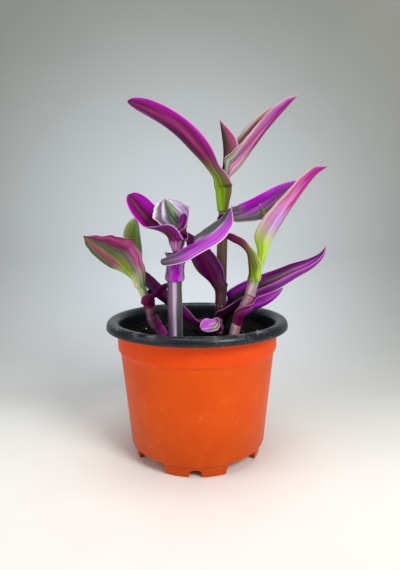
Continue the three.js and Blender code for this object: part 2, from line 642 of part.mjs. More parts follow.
    path: [
      [6, 0, 84.5], [-1.5, -2, 86.5], [-10, -2, 93.5], [-19, 1, 102], [-26.5, 3, 109], [-33, 4, 117],
      [-39, 3, 124],
    ],
    left: { half: 5.5, fold: [20, 20, 20], curl: [40, 30, 20] },
    right: { half: 10, base: 0.7, fold: [20, 30, 20], curl: [40, 30, 20] },
  },
  {
    name: "sprout_leaf", color: "#b56cc0", on: "sprout", node: 87, side: 215, sheath: 1.2, lift: 0.6,
    unroll: 3, widest: 0.5, blunt: 0.45, opening: 0.2, roll: [0, -20, -20],
    path: [[11, -6, 87.4], [7.5, -8.8, 86.8], [2.5, -11, 85.5]],
    left: { half: 6.5, fold: [10, 0, 0], curl: [60, 20, 20] },
    right: { half: 6.5, fold: [10, 0, 0], curl: [60, 20, 20] },
  },
];

const stemCurves = {};
for (const [name, stem] of Object.entries(STEMS)) stemCurves[name] = stemPath(stem.path);

// A blade that clasps its stem from outside, grown together with a sheath that opens to a funnel.
function withCollar(blade, on, { outside, inside }) {
  const ringed = (radii, extra) => solid(loft(stemRings(stemCurves[on], radii, extra)));
  const room = ringed(inside, 0).add(ringed(STEMS[on].radii, GAP));
  return geometryFrom(ringed(outside, 0).add(solid(blade)).subtract(room));
}

const { orange, black } = potSkins();
addMesh("pot_outer_skin", geometryFrom(solid(orange).subtract(footCutters())), "#e8571a", 0.45);
addMesh("pot_inner_skin_and_rim", black, "#2a3038", 0.5);
addMesh("soil", soilGeometry(), "#1d1815", 0.95);
for (const [name, stem] of Object.entries(STEMS)) {
  addMesh(`${name}_stem`, loft(stemRings(stemCurves[name], stem.radii)), stem.color, STEM_ROUGHNESS);
}
for (const { name, color, collar, ...shape } of LEAVES) {
  const blade = leafGeometry(shape);
  addMesh(name, collar ? withCollar(blade, shape.on, collar) : blade, color, LEAF_ROUGHNESS);
}

group.position.x = -PLANT_MIDDLE;

export default group;
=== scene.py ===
# %% [markdown]
# # A young tradescantia in a two-colour nursery pot
#
# The CAD model of this plant is already packed: a pot of two skins, soil, five stems and twenty leaves.
# This notebook puts a finer piece in the place of each of them and gives it a finish. Everything keeps the
# size and the place that the CAD gives it, so the frame is loaded first.

# %% Load the frame
import math
import random
from bisect import bisect_right

import bpy
from mathutils import Euler, Matrix, Vector, noise


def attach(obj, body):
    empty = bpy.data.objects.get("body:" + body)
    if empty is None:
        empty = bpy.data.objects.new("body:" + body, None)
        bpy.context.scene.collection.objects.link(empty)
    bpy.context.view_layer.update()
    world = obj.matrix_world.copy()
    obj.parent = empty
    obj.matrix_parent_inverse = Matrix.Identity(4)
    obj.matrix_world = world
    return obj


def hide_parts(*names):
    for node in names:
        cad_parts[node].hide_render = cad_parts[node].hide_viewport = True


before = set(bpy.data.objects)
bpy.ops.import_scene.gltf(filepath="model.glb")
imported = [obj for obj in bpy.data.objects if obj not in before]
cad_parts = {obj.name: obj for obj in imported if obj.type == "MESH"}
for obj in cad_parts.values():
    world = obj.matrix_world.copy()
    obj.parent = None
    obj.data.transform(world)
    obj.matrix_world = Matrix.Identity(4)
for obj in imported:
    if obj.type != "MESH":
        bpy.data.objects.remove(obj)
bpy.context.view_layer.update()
print("nodes in the frame:", len(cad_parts))

# %% [markdown]
# ## One way to say where things are
#
# The plant was measured in millimetres round the pot's own axis, and the row's origin is a little to the
# right of that axis, under the middle of the foliage. One function turns a measured point into metres in
# the row's frame, and every piece goes through it.

# %% Millimetres round the pot's axis
PLANT_MIDDLE = 8.7  # from the pot's axis to the origin, as in the part's source
MM = 0.001


def place(point):
    x, y, z = point
    return Vector((x - PLANT_MIDDLE, y, z)) * MM


def mix(a, b, share):
    return a + (b - a) * share


def smooth(x):
    x = min(max(x, 0.0), 1.0)
    return x * x * (3 - 2 * x)


def along(keys, share):
    """The value at share 0 to 1 along evenly spaced keys."""
    spot = min(max(share, 0.0), 1.0) * (len(keys) - 1)
    before = min(int(spot), len(keys) - 2)
    return mix(keys[before], keys[before + 1], smooth(spot - before))


def at_height(pairs, z):
    """The value at height z along [z, value] pairs."""
    if z <= pairs[0][0]:
        return pairs[0][1]
    for (z0, v0), (z1, v1) in zip(pairs, pairs[1:]):
        if z <= z1:
            return mix(v0, v1, (z - z0) / (z1 - z0))
    return pairs[-1][1]


# %% [markdown]
# ## The camera
#
# The photograph looks slightly down at the plant from about 30 cm away, through a fairly wide lens: the
# pot's rim shows as a flat ellipse and its sides lean together. The position, tilt and lens were worked out
# from the rim, the collar and the foot of the pot, whose true circles are known.

# %% Camera
CAMERA_SPOT = (2.07, -308.0, 154.25)
CAMERA_PITCH = 7.65  # degrees below the horizon
CAMERA_ROLL = -0.38
CAMERA_LENS = 29.49

camera_data = bpy.data.cameras.new("camera")
camera_data.lens = CAMERA_LENS
camera_data.sensor_width = 36
camera_data.clip_start = 0.01
camera = bpy.data.objects.new("camera", camera_data)
bpy.context.scene.collection.objects.link(camera)
camera.matrix_world = (
    Matrix.Translation(place(CAMERA_SPOT))
    @ Matrix.Rotation(math.radians(90 - CAMERA_PITCH), 4, "X")
    @ Matrix.Rotation(math.radians(CAMERA_ROLL), 4, "Z")
)
bpy.context.scene.camera = camera
print("camera stands", round(-CAMERA_SPOT[1]), "mm in front of the pot's axis")

# %% [markdown]
# ## Modelling helpers
#
# A few short helpers do what hands do at the start and end of each piece: select it, apply a modifier, clean
# its mesh and hand it to the frame. A piece rides on the one rigid body, and the CAD nodes that it stands
# for are hidden.

# %% Selection, modifiers, mesh and frame
MERGE = 1e-6  # points nearer than this, in metres, are one point


def only(piece):
    bpy.ops.object.select_all(action="DESELECT")
    piece.select_set(True)
    bpy.context.view_layer.objects.active = piece


def finished(piece, kind, **settings):
    """Adds a modifier with those settings and applies it."""
    only(piece)
    modifier = piece.modifiers.new(kind.lower(), kind)
    for key, value in settings.items():
        setattr(modifier, key, value)
    bpy.ops.object.modifier_apply(modifier=modifier.name)


def settled(piece):
    """Puts the piece's place into its mesh, so that its object sits at the origin."""
    only(piece)
    bpy.ops.object.transform_apply(location=True, rotation=True, scale=True)


def hand_over(piece, slot, *nodes):
    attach(piece, "root")
    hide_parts(*nodes)


def clean_mesh(piece, fill=True):
    """Merges doubled points, closes holes and turns every face outwards."""
    only(piece)
    bpy.ops.object.mode_set(mode="EDIT")
    bpy.ops.mesh.select_all(action="SELECT")
    bpy.ops.mesh.remove_doubles(threshold=MERGE)
    if fill:
        bpy.ops.mesh.fill_holes(sides=0)
    bpy.ops.mesh.normals_make_consistent(inside=False)
    bpy.ops.object.mode_set(mode="OBJECT")


def smooth_shaded(piece, degrees):
    """Shades the piece smooth, with a crease where its faces turn by more than so many degrees."""
    only(piece)
    bpy.ops.object.shade_smooth_by_angle(angle=math.radians(degrees))


# %% [markdown]
# ## The pot, turned like clay
#
# The real pot is thermoformed: one thin sheet, orange outside and black inside, is drawn over a mould, and
# its edge is rolled over. Its shape is round all the way, so it is made as on a wheel. A circle is drawn up
# from ring to ring by extruding and scaling, outside and back down inside, and the two ends are closed.

# %% A wheel
POT_STEPS = 128
AXIS = place((0, 0, 0))


def turned(name, profile):
    """A body of revolution through [radius, height] pairs in millimetres, with its two ends still open."""
    bpy.ops.object.select_all(action="DESELECT")
    (radius, height), *rest = profile
    bpy.ops.mesh.primitive_circle_add(
        vertices=POT_STEPS, radius=radius * MM, location=AXIS + Vector((0, 0, height * MM)))
    piece = bpy.context.object
    piece.name = name
    settled(piece)
    bpy.ops.object.mode_set(mode="EDIT")
    bpy.ops.mesh.select_all(action="SELECT")
    for r, z in rest:
        bpy.ops.mesh.extrude_region_move(TRANSFORM_OT_translate={"value": (0, 0, (z - height) * MM)})
        bpy.ops.transform.resize(value=(r / radius, r / radius, 1), center_override=AXIS)
        radius, height = r, z
    bpy.ops.object.mode_set(mode="OBJECT")
    return piece


# %% [markdown]
# The rim is a roll with a soft crown, so a few measured points are joined by a smooth path. The same kind
# of path, a curve that passes through its points and never loops between them, carries the stems and the
# midribs of the leaves later on.

# %% A smooth path through points
class SmoothPath:
    """A centripetal Catmull-Rom curve, measured along its length."""

    STEPS = 40  # samples between two points
    NUDGE = 0.004  # the direction is taken between spots this share before and after

    def __init__(self, points):
        points = [Vector(p) for p in points]
        ends = [points[0] * 2 - points[1], *points, points[-1] * 2 - points[-2]]
        self.samples = []
        for i in range(len(points) - 1):
            self.samples += self.stretch(*ends[i:i + 4])
        self.samples.append(points[-1])
        self.lengths = [0.0]
        for a, b in zip(self.samples, self.samples[1:]):
            self.lengths.append(self.lengths[-1] + (b - a).length)
        self.length = self.lengths[-1]

    def stretch(self, p0, p1, p2, p3):
        d0, d1, d2 = [max((b - a).length, 1e-4) ** 0.5 for a, b in ((p0, p1), (p1, p2), (p2, p3))]
        start = ((p1 - p0) / d0 - (p2 - p0) / (d0 + d1) + (p2 - p1) / d1) * d1
        end = ((p2 - p1) / d1 - (p3 - p1) / (d1 + d2) + (p3 - p2) / d2) * d1
        samples = []
        for k in range(self.STEPS):
            t = k / self.STEPS
            samples.append(p1 + start * t + (-3 * p1 + 3 * p2 - 2 * start - end) * t**2
                           + (2 * p1 - 2 * p2 + start + end) * t**3)
        return samples

    def at(self, share):
        goal = min(max(share, 0.0), 1.0) * self.length
        low = min(max(bisect_right(self.lengths, goal) - 1, 0), len(self.lengths) - 2)
        span = self.lengths[low + 1] - self.lengths[low]
        return self.samples[low].lerp(self.samples[low + 1], (goal - self.lengths[low]) / max(span, 1e-9))

    def direction(self, share):
        return (self.at(share + self.NUDGE) - self.at(share - self.NUDGE)).normalized()

    def share_at_height(self, z):
        low, high = 0.0, 1.0
        for _ in range(20):
            middle = (low + high) / 2
            if self.at(middle).z < z:
                low = middle
            else:
                high = middle
        return (low + high) / 2


def rounded(points, steps):
    """[radius, height] pairs along a smooth path through a few of them."""
    path = SmoothPath([(r, 0, z) for r, z in points])
    spots = [path.at(k / steps) for k in range(steps + 1)]
    return [(spot.x, spot.z) for spot in spots]


# %% Profiles of the two skins
WALL = [(42.6, 8.3), (44.4, 10.2), (50.3, 69.2), (50.8, 71), (52.1, 73), (52.1, 87)]
WALL_ROLL = rounded([(52.1, 87), (53.8, 89.9), (56.4, 90.6), (58.4, 89.6), (59.2, 88), (59.4, 86.2)], 14)
OUTSIDE = [(39.8, 7.6), (39.8, 0), (41.1, 0), (41.8, 0.3), (42.1, 1), (42.8, 6.6), (43.2, 7.3), (44.2, 7.9),
           (44.8, 8.6), (45.2, 9.8), (48.1, 40), (50.9, 68), (51.0, 69.3)]
STEP = rounded([(51.0, 69.3), (51.4, 70.9), (52.5, 72.2), (52.8, 73.6)], 8)
COLLAR = [(52.8, 75), (52.8, 80), (52.8, 86.4)]
UNDER_ROLL = rounded([(52.8, 87), (54.2, 89.3), (56.4, 89.9), (58, 89), (58.6, 87.8), (58.8, 86.2)], 12)
ROLL = rounded([(60, 86.2), (59.95, 88.2), (59, 90.3), (56.6, 91.4), (53.6, 90.8), (51.9, 88.8),
                (51.4, 86.6)], 22)
INSIDE = [(51.4, 80), (51.4, 73.2), (49.9, 71), (49.6, 69.4), (43.7, 11), (41.6, 9)]

outer_skin = turned("pot_outer", OUTSIDE + STEP[1:] + COLLAR + UNDER_ROLL + WALL_ROLL[::-1] + WALL[-2::-1])
inner_skin = turned("pot_inner", WALL + WALL_ROLL[1:] + ROLL + INSIDE)
for skin in (outer_skin, inner_skin):
    clean_mesh(skin)
print("pot skins:", len(outer_skin.data.polygons), "and", len(inner_skin.data.polygons), "faces")

# %% [markdown]
# The foot ring is broken by four wide gaps, and each foot that is left has a small arched drain in its
# middle. Both are cut out with blocks that stand across the ring: a wedge for the gap, and a block with two
# rounded shoulders for the drain.

# %% Cut the gaps between the feet and the drains
POT_TURN = -1.9
FOOT_HEIGHT = 7.6
GAP_HALF_WIDTHS = (14, 12)  # where the feet stand, and at the floor of the pot
GAP_DEPTH = 16  # how far the wedge reaches across the foot ring
DRAIN_SIZE = (7.8, 14, 6)
DRAIN_HEIGHT = 5
DRAIN_ROUNDING = 2.6
EDGE_ROUNDING = 0.12
CUT_MIDDLE = 41  # from the pot's axis to the middle of a cutter
CUTTER_TOP = 4  # what lies above this height belongs to the top of a cutter


def block(size, middle_height):
    """A block across the front of the foot ring."""
    bpy.ops.object.select_all(action="DESELECT")
    bpy.ops.mesh.primitive_cube_add(size=1, location=AXIS + Vector((0, -CUT_MIDDLE, middle_height)) * MM)
    cutter = bpy.context.object
    cutter.scale = Vector(size) * MM
    settled(cutter)
    return cutter


def spun(cutter, turn):
    """Turns the cutter about the pot's axis by an angle in degrees."""
    rotation = Matrix.Rotation(math.radians(turn), 4, "Z")
    cutter.data.transform(Matrix.Translation(AXIS) @ rotation @ Matrix.Translation(-AXIS))


def taper_top(cutter, share):
    for vertex in cutter.data.vertices:
        if vertex.co.z > CUTTER_TOP * MM:
            vertex.co.x = AXIS.x + (vertex.co.x - AXIS.x) * share


def round_shoulders(cutter, radius):
    """Bevels the two upper edges that run across the ring."""
    only(cutter)
    bpy.ops.object.mode_set(mode="EDIT")
    bpy.ops.mesh.select_all(action="DESELECT")
    bpy.ops.object.mode_set(mode="OBJECT")
    for edge in cutter.data.edges:
        a, b = [cutter.data.vertices[i].co for i in edge.vertices]
        edge.select = min(a.z, b.z) > CUTTER_TOP * MM and abs(a.y - b.y) > MM
    bpy.ops.object.mode_set(mode="EDIT")
    bpy.ops.mesh.bevel(offset=radius * MM, segments=8, affect="EDGES")
    bpy.ops.object.mode_set(mode="OBJECT")


FEET = 4
cutters = []
for foot in range(FEET):
    gap = block((2 * GAP_HALF_WIDTHS[0], GAP_DEPTH, FOOT_HEIGHT + 1), (FOOT_HEIGHT - 1) / 2)
    taper_top(gap, GAP_HALF_WIDTHS[1] / GAP_HALF_WIDTHS[0])
    spun(gap, POT_TURN + 45 + 90 * foot)
    drain = block(DRAIN_SIZE, DRAIN_HEIGHT - DRAIN_SIZE[2] / 2)
    round_shoulders(drain, DRAIN_ROUNDING)
    spun(drain, POT_TURN + 90 * foot)
    cutters += [gap, drain]

for cutter in cutters:
    finished(outer_skin, "BOOLEAN", operation="DIFFERENCE", object=cutter, solver="EXACT")
    bpy.data.objects.remove(cutter)

for skin in (outer_skin, inner_skin):
    finished(skin, "BEVEL", width=EDGE_ROUNDING * MM, segments=2, limit_method="ANGLE",
             angle_limit=math.radians(40))
    smooth_shaded(skin, 35)
print("outer skin with its feet:", len(outer_skin.data.polygons), "faces")

# %% [markdown]
# ## The soil
#
# Potting mix is not a smooth plate: it lies in low mounds, it has crumbs on top, and a few white grains of
# perlite show in it. The ground is turned on the wheel and its top is pushed up and down by noise. One rough
# crumb is modelled, and a few hundred copies of it are scattered with a fixed seed.

# %% Ground
SOIL_LEVEL = 80.5
SOIL_EDGE = 51.0
SOIL_RINGS = 26
SOIL_SIDE = [(39.6, 9.3), (43.3, 11.4), (49.3, 69), (51.0, 74.2)]
EDGE_RISE = 0.8  # by so much the soil climbs the wall of the pot
RISE_FROM = 44

ground_rings = [(SOIL_EDGE * (1 - k / SOIL_RINGS), SOIL_LEVEL) for k in range(SOIL_RINGS)]
ground = turned("soil_ground", SOIL_SIDE + ground_rings)
clean_mesh(ground)


def soil_height(x, y):
    """The soil's own level at a place in millimetres: mounds, lumps and grains."""
    small_mounds = 0.6 * math.sin(x / 3.7 + y / 5.3) * math.sin(y / 4.1)
    mounds = 0.5 * (math.sin(x / 9 + 1) * math.cos(y / 11) + small_mounds)
    lumps = 0.7 * noise.noise(Vector((x, y, 0)) / 3.5)
    grains = 0.35 * noise.noise(Vector((x, y, 7)) / 1.1)
    return SOIL_LEVEL + mounds + lumps + grains


for vertex in ground.data.vertices:
    x, y = (vertex.co.x - AXIS.x) / MM, vertex.co.y / MM
    if vertex.co.z > (SOIL_LEVEL - 1) * MM:
        edge_rise = EDGE_RISE * smooth((math.hypot(x, y) - RISE_FROM) / (SOIL_EDGE - RISE_FROM))
        vertex.co.z = (soil_height(x, y) + edge_rise) * MM

# %% Crumbs
CRUMBS = 620
CRUMB_REACH = 50
PERLITE_EVERY = 41
scatter = random.Random(11)


def crumb(name):
    """One rough crumb, about a millimetre across."""
    bpy.ops.object.select_all(action="DESELECT")
    bpy.ops.mesh.primitive_ico_sphere_add(subdivisions=2, radius=0.5 * MM)
    piece = bpy.context.object
    piece.name = name
    for vertex in piece.data.vertices:
        bump = 1 + 0.45 * noise.noise(vertex.co / MM * 2.1)
        vertex.co = vertex.co * bump
    return piece


first_crumb = crumb("crumb")
crumbs = []
for k in range(CRUMBS):
    turn = scatter.uniform(0, 2 * math.pi)
    reach = CRUMB_REACH * math.sqrt(scatter.random())
    x, y = reach * math.cos(turn), reach * math.sin(turn)
    size = Vector([scatter.uniform(0.5, 2.1) * scatter.uniform(0.6, 1) for _ in range(3)])
    tilt = Euler([scatter.uniform(0, 6.28) for _ in range(3)]).to_matrix().to_4x4()
    copy = first_crumb.copy()
    copy.data = first_crumb.data.copy()
    spot = Matrix.Translation(place((x, y, soil_height(x, y) + 0.1)))
    copy.data.transform(spot @ tilt @ Matrix.Diagonal((*size, 1)))
    bpy.context.scene.collection.objects.link(copy)
    copy["perlite"] = k % PERLITE_EVERY == 0
    crumbs.append(copy)
bpy.data.objects.remove(first_crumb)
print("crumbs on the soil:", len(crumbs))

# %% [markdown]
# ## Stems
#
# A tradescantia's stem is a row of smooth joints. Each joint swells a little at its node, where a leaf's
# sheath is attached. Every stem is one sheet of points, as long as the stem and wrapped once round it: a
# grid is added, each of its rows is laid on a ring of the stem, and the seam is merged. The grid brings its
# own UV map, which runs round the stem and along it, so that stripes can follow the stem later.

# %% Lay a grid on rows of points
def laid_grid(name, rows):
    """A grid whose every row of vertices lies on one row of points, in millimetres."""
    count, columns = len(rows), len(rows[0])
    bpy.ops.object.select_all(action="DESELECT")
    bpy.ops.mesh.primitive_grid_add(x_subdivisions=columns - 1, y_subdivisions=count - 1, size=1)
    piece = bpy.context.object
    piece.name = name
    for vertex in piece.data.vertices:
        column = round((vertex.co.x + 0.5) * (columns - 1))
        row = round((vertex.co.y + 0.5) * (count - 1))
        vertex.co = place(rows[row][column])
    return piece


# %% The stems' paths and radii
STEMS = {
    "tall": {
        "path": [(16, 12, 64), (16, 12, 86), (16.5, 12, 101), (17, 12, 122), (17.5, 12, 145), (18, 12, 165),
                 (19, 12, 185)],
        "radii": [(64, 3.9), (81, 3.9), (81.5, 3.1), (91.5, 3.1), (92.5, 3.9), (97.5, 4), (98, 3), (104, 3),
                  (105.5, 2.7), (110, 2.7), (111.5, 3.6), (146.5, 3.6), (147, 2.8), (160.5, 2.9), (161, 2.6),
                  (176, 2.6), (177, 1.8), (182, 1.7), (182.5, 1.1), (185, 1)],
        "slot": "brown_stem",
    },
    "front": {
        "path": [(-13, -26, 64), (-13.3, -26, 100), (-13.3, -26, 119), (-12.7, -26, 128), (-11.2, -26, 137),
                 (-10.6, -26, 144), (-9.5, -25.5, 151)],
        "radii": [(64, 4.8), (100, 4.6), (117, 4.4), (118.8, 4.7), (119.2, 3.8), (128, 3.6), (132, 2.7),
                  (134.5, 2.6), (135.3, 1.8), (144.5, 1.6), (148.5, 1.6), (149.2, 1), (151, 0.9)],
        "slot": "grey_stem",
    },
    "right": {
        "path": [(22, -5, 64), (24.2, -6, 80), (27, -7, 91), (30, -8, 99), (34, -9, 106.5), (37.2, -10, 119),
                 (39, -10, 126), (41, -10, 132)],
        "radii": [(64, 3.4), (87, 3.4), (88, 2.6), (99, 2.6), (100.5, 3), (107, 3.2), (107.5, 2.5),
                  (116.5, 2.4), (118, 1.6), (128, 1.5), (128.5, 0.9), (131, 0.8)],
        "slot": "pink_stem",
    },
    "left": {
        "path": [(-19, -2, 64), (-22.7, -3.5, 80), (-27, -5, 87), (-30, -6, 93), (-30.5, -7, 98),
                 (-31.3, -8, 102), (-33, -9, 106), (-37, -10, 116), (-39, -10, 122)],
        "radii": [(64, 3.6), (86, 3.6), (87, 4), (92.5, 3.9), (93.5, 3.2), (100, 3.3), (100.4, 2.9),
                  (101.4, 2.9), (101.7, 2.6), (103.6, 2.6), (104.6, 1.8), (114.5, 2), (115, 1.3), (122, 1)],
        "slot": "pink_stem",
    },
    "sprout": {
        "path": [(15, -1, 72), (15, -1.5, 80), (15, -2, 88.4)],
        "radii": [(72, 2.2), (81.6, 2.2), (82, 1.6), (83, 1.6), (83.6, 0.8), (88.4, 0.8)],
        "slot": "pink_stem",
    },
}
stem_paths = {name: SmoothPath(stem["path"]) for name, stem in STEMS.items()}

# %% Make the stems
STEM_SIDES = 28
STEM_STEP = 0.8  # millimetres from ring to ring


def ring(path, z, radius, sides):
    """A ring round a path at a height, its first point repeated at its end."""
    share = path.share_at_height(z)
    tangent = path.direction(share)
    middle = path.at(share)
    out = (Vector((1, 0, 0)) - tangent * tangent.x).normalized()
    side = tangent.cross(out)
    points = []
    for k in range(sides + 1):
        turn = 2 * math.pi * k / sides
        points.append(middle + (out * math.cos(turn) + side * math.sin(turn)) * radius)
    return points


def stem_piece(name, stem):
    path, radii = stem_paths[name], stem["radii"]
    bottom, top = radii[0][0], radii[-1][0]
    count = round((top - bottom) / STEM_STEP)
    heights = [mix(bottom, top, k / count) for k in range(count + 1)]
    piece = laid_grid(f"{name}_stem_skin", [ring(path, z, at_height(radii, z), STEM_SIDES) for z in heights])
    clean_mesh(piece)
    smooth_shaded(piece, 60)
    hand_over(piece, stem["slot"], f"{name}_stem")
    return piece


stem_pieces = {name: stem_piece(name, stem) for name, stem in STEMS.items()}
print("stems:", {name: len(piece.data.polygons) for name, piece in stem_pieces.items()})

# %% [markdown]
# ## Leaves
#
# A tradescantia leaf is a tube that opens. Its base, the sheath, is a closed cuff round the stem just above
# a node. Past the cuff's mouth the two halves open like a boat and taper to a point. A sheet with a solidify
# modifier is the natural way to make it: the grid's rows are laid along the midrib, and across each row both
# halves bend as arcs. In the sheath the arcs go round the stem, and further on each half rises from the
# midrib by its fold and bends on by its curl.

# %% The shape of a leaf
BLADE = 0.7
SHEATH_GAP = 0.3
MOUTH_WRAP = math.radians(85)  # past the mouth of its sheath each half unrolls to this
KEEL = 1.2  # a half rises from the midrib within this length
TIP_WIDTH = 0.25
LEAF_ROWS = 60
HALF_COLUMNS = 10
FINE_STEPS = 6  # steps along the arc from one column to the next
SHEATH_WRAP = math.radians(168)  # how far each half goes round the stem in the sheath


def sheath_radius(on, node):
    return at_height(STEMS[on]["radii"], node + 1) + SHEATH_GAP + BLADE / 2


def blade_width(shape, half, blade):
    """Half the blade's width at a share of its length past the mouth."""
    widest, blunt, base = [half.get(key, shape.get(key, 0.45)) for key in ("widest", "blunt", "base")]
    swell = mix(base, 1, smooth(blade / widest))
    to_tip = max(0.0, (blade - widest) / (1 - widest))
    share = along(half["outline"], blade) if "outline" in half else swell * (1 - to_tip**2) ** blunt
    if blade < half.get("round", 0):
        share *= math.sqrt(1 - (1 - blade / half["round"]) ** 2)
    return max(half["half"] * share, TIP_WIDTH)


def half_section(shape, half, blade, opened, held, cuff_width):
    """(across, up) of one half at each step from the midrib to its margin."""
    width = mix(cuff_width, blade_width(shape, half, blade), opened)
    rise = math.radians(along(half["fold"], blade)) * opened
    bend = mix(held, math.radians(along(half["curl"], blade)), opened)
    steps = HALF_COLUMNS * FINE_STEPS
    x = y = 0.0
    points = []
    for k in range(1, steps + 1):
        share = (k - 0.5) / steps
        slope = rise * smooth(share * width / KEEL) + bend * share
        x += math.cos(slope) * width / steps
        y += math.sin(slope) * width / steps
        if k % FINE_STEPS == 0:
            points.append((x, y))
    return points


# %% [markdown]
# Where a half would cut its own stem, or the sheath of a leaf above it, it is pushed out to lie round them,
# as real sheaths do: they are nested one in the other.

# %% Nested sheaths
BESIDE_STEM = 0.1  # extra room between a stem and its leaf
BESIDE_BLADE = 0.6  # and past the mouth, where the blade bends
BESIDE_SHEATH = 0.8  # extra room round the sheath of a leaf above
REACH_UNDER = 2  # how far under and over a sheath the leaves below it make room
REACH_OVER = 5
OVER_STEM = 3  # so far above a stem's top nothing has to be cleared


def pushed_clear(at, shape, later):
    """The point moved out from the stem's axis where it is too near it."""
    on, node, sheath = shape["on"], shape["node"], shape["sheath"]
    radii = STEMS[on]["radii"]
    if not sheath or at.z > radii[-1][0] + OVER_STEM:
        return at
    bodies = [at_height(radii, at.z) + (BESIDE_BLADE if at.z > node + sheath else BESIDE_STEM)]
    for leaf in later:
        if leaf["node"] - REACH_UNDER < at.z < leaf["node"] + leaf["sheath"] + REACH_OVER:
            outside = sheath_radius(on, leaf["node"]) + leaf.get("flare", 0) + BLADE / 2
            bodies.append(outside + BESIDE_SHEATH)
    clear = max(bodies) + SHEATH_GAP + BLADE / 2
    share = stem_paths[on].share_at_height(at.z)
    tangent = stem_paths[on].direction(share)
    away = at - stem_paths[on].at(share)
    away -= tangent * away.dot(tangent)
    if away.length >= clear or away.length < 1e-6:
        return at
    return at + away.normalized() * (clear - away.length)


# %% The midrib, and rows of points across it
def midrib_of(shape):
    """The path that runs up the stem in the sheath and on to the tip, and the blade's first facing."""
    stem = stem_paths[shape["on"]]
    side = math.radians(shape["side"])
    out = Vector((math.cos(side), math.sin(side), 0))
    sheath, lift, flare = shape["sheath"], shape.get("lift", 2.5), shape.get("flare", 0)
    start = []
    if sheath:
        radius = sheath_radius(shape["on"], shape["node"])
        for height, off in ((0, 0), (sheath / 2, 0), (sheath, 0), (sheath + lift, lift / 3)):
            share = stem.share_at_height(shape["node"] + height)
            tangent = stem.direction(share)
            away = (out - tangent * out.dot(tangent)).normalized()
            start.append(stem.at(share) + away * (radius + flare * min(height / sheath, 1) + off))
    normal = Vector(shape["face"]) if "face" in shape else -out
    return SmoothPath(start + [Vector(p) for p in shape["path"]]), normal


def leaf_rows(shape, later):
    sheath, flare = shape["sheath"], shape.get("flare", 0)
    radius = sheath_radius(shape["on"], shape["node"]) if sheath else 0
    midrib, normal = midrib_of(shape)
    mouth = sheath / midrib.length
    rows = []
    before = 0.0
    for i in range(LEAF_ROWS + 1):
        share = i / LEAF_ROWS
        blade = min(max((share - mouth) / (1 - mouth), 0), 1)
        opened = smooth(blade / shape.get("opening", 0.3)) if sheath else 1
        held = mix(SHEATH_WRAP, MOUTH_WRAP, smooth((share - mouth) * midrib.length / shape.get("unroll", 6)))
        cuff_width = (radius + flare * min(share / mouth, 1)) * SHEATH_WRAP if sheath else 0
        tangent = midrib.direction(share)
        for k in range(1, 5):
            step = midrib.direction(mix(before, share, k / 4))
            normal = (normal - step * normal.dot(step)).normalized()
        before = share
        roll = math.radians(along(shape["roll"], blade)) * opened
        facing = normal.copy()
        facing.rotate(Matrix.Rotation(roll, 3, tangent))
        across = tangent.cross(facing)
        left = half_section(shape, shape["left"], blade, opened, held, cuff_width)
        right = half_section(shape, shape["right"], blade, opened, held, cuff_width)
        section = [(-x, y) for x, y in reversed(left)] + [(0, 0)] + right
        middle = midrib.at(share)
        rows.append([pushed_clear(middle + across * x + facing * y, shape, later) for x, y in section])
    return rows


# %% [markdown]
# Each leaf has its own entry: where its sheath sits, the way its midrib goes, and how wide each half is and
# how far it folds up and curls over. The numbers were read from the photograph, leaf by leaf, and they are
# the same as in the part's source. Left and right are seen from the stem with the upper face up, and a leaf
# with one half given has the same half on both sides.

# %% The leaves, lowest first on each stem
def half(width, fold, curl, **more):
    """One half of a blade: its greatest width, its fold and its curl, steady or as keys along it."""
    fold, curl = [keys if isinstance(keys, tuple) else (keys, keys) for keys in (fold, curl)]
    return {"half": width, "fold": fold, "curl": curl, **more}


def leaf(on, node, side, sheath, path, left, right=None, roll=(0, 0), **more):
    """A leaf on a stem: its node's height, the side it leaves on, its sheath, its midrib and its halves."""
    return {"on": on, "node": node, "side": side, "sheath": sheath, "path": path, "left": left,
            "right": right or left, "roll": roll, **more}


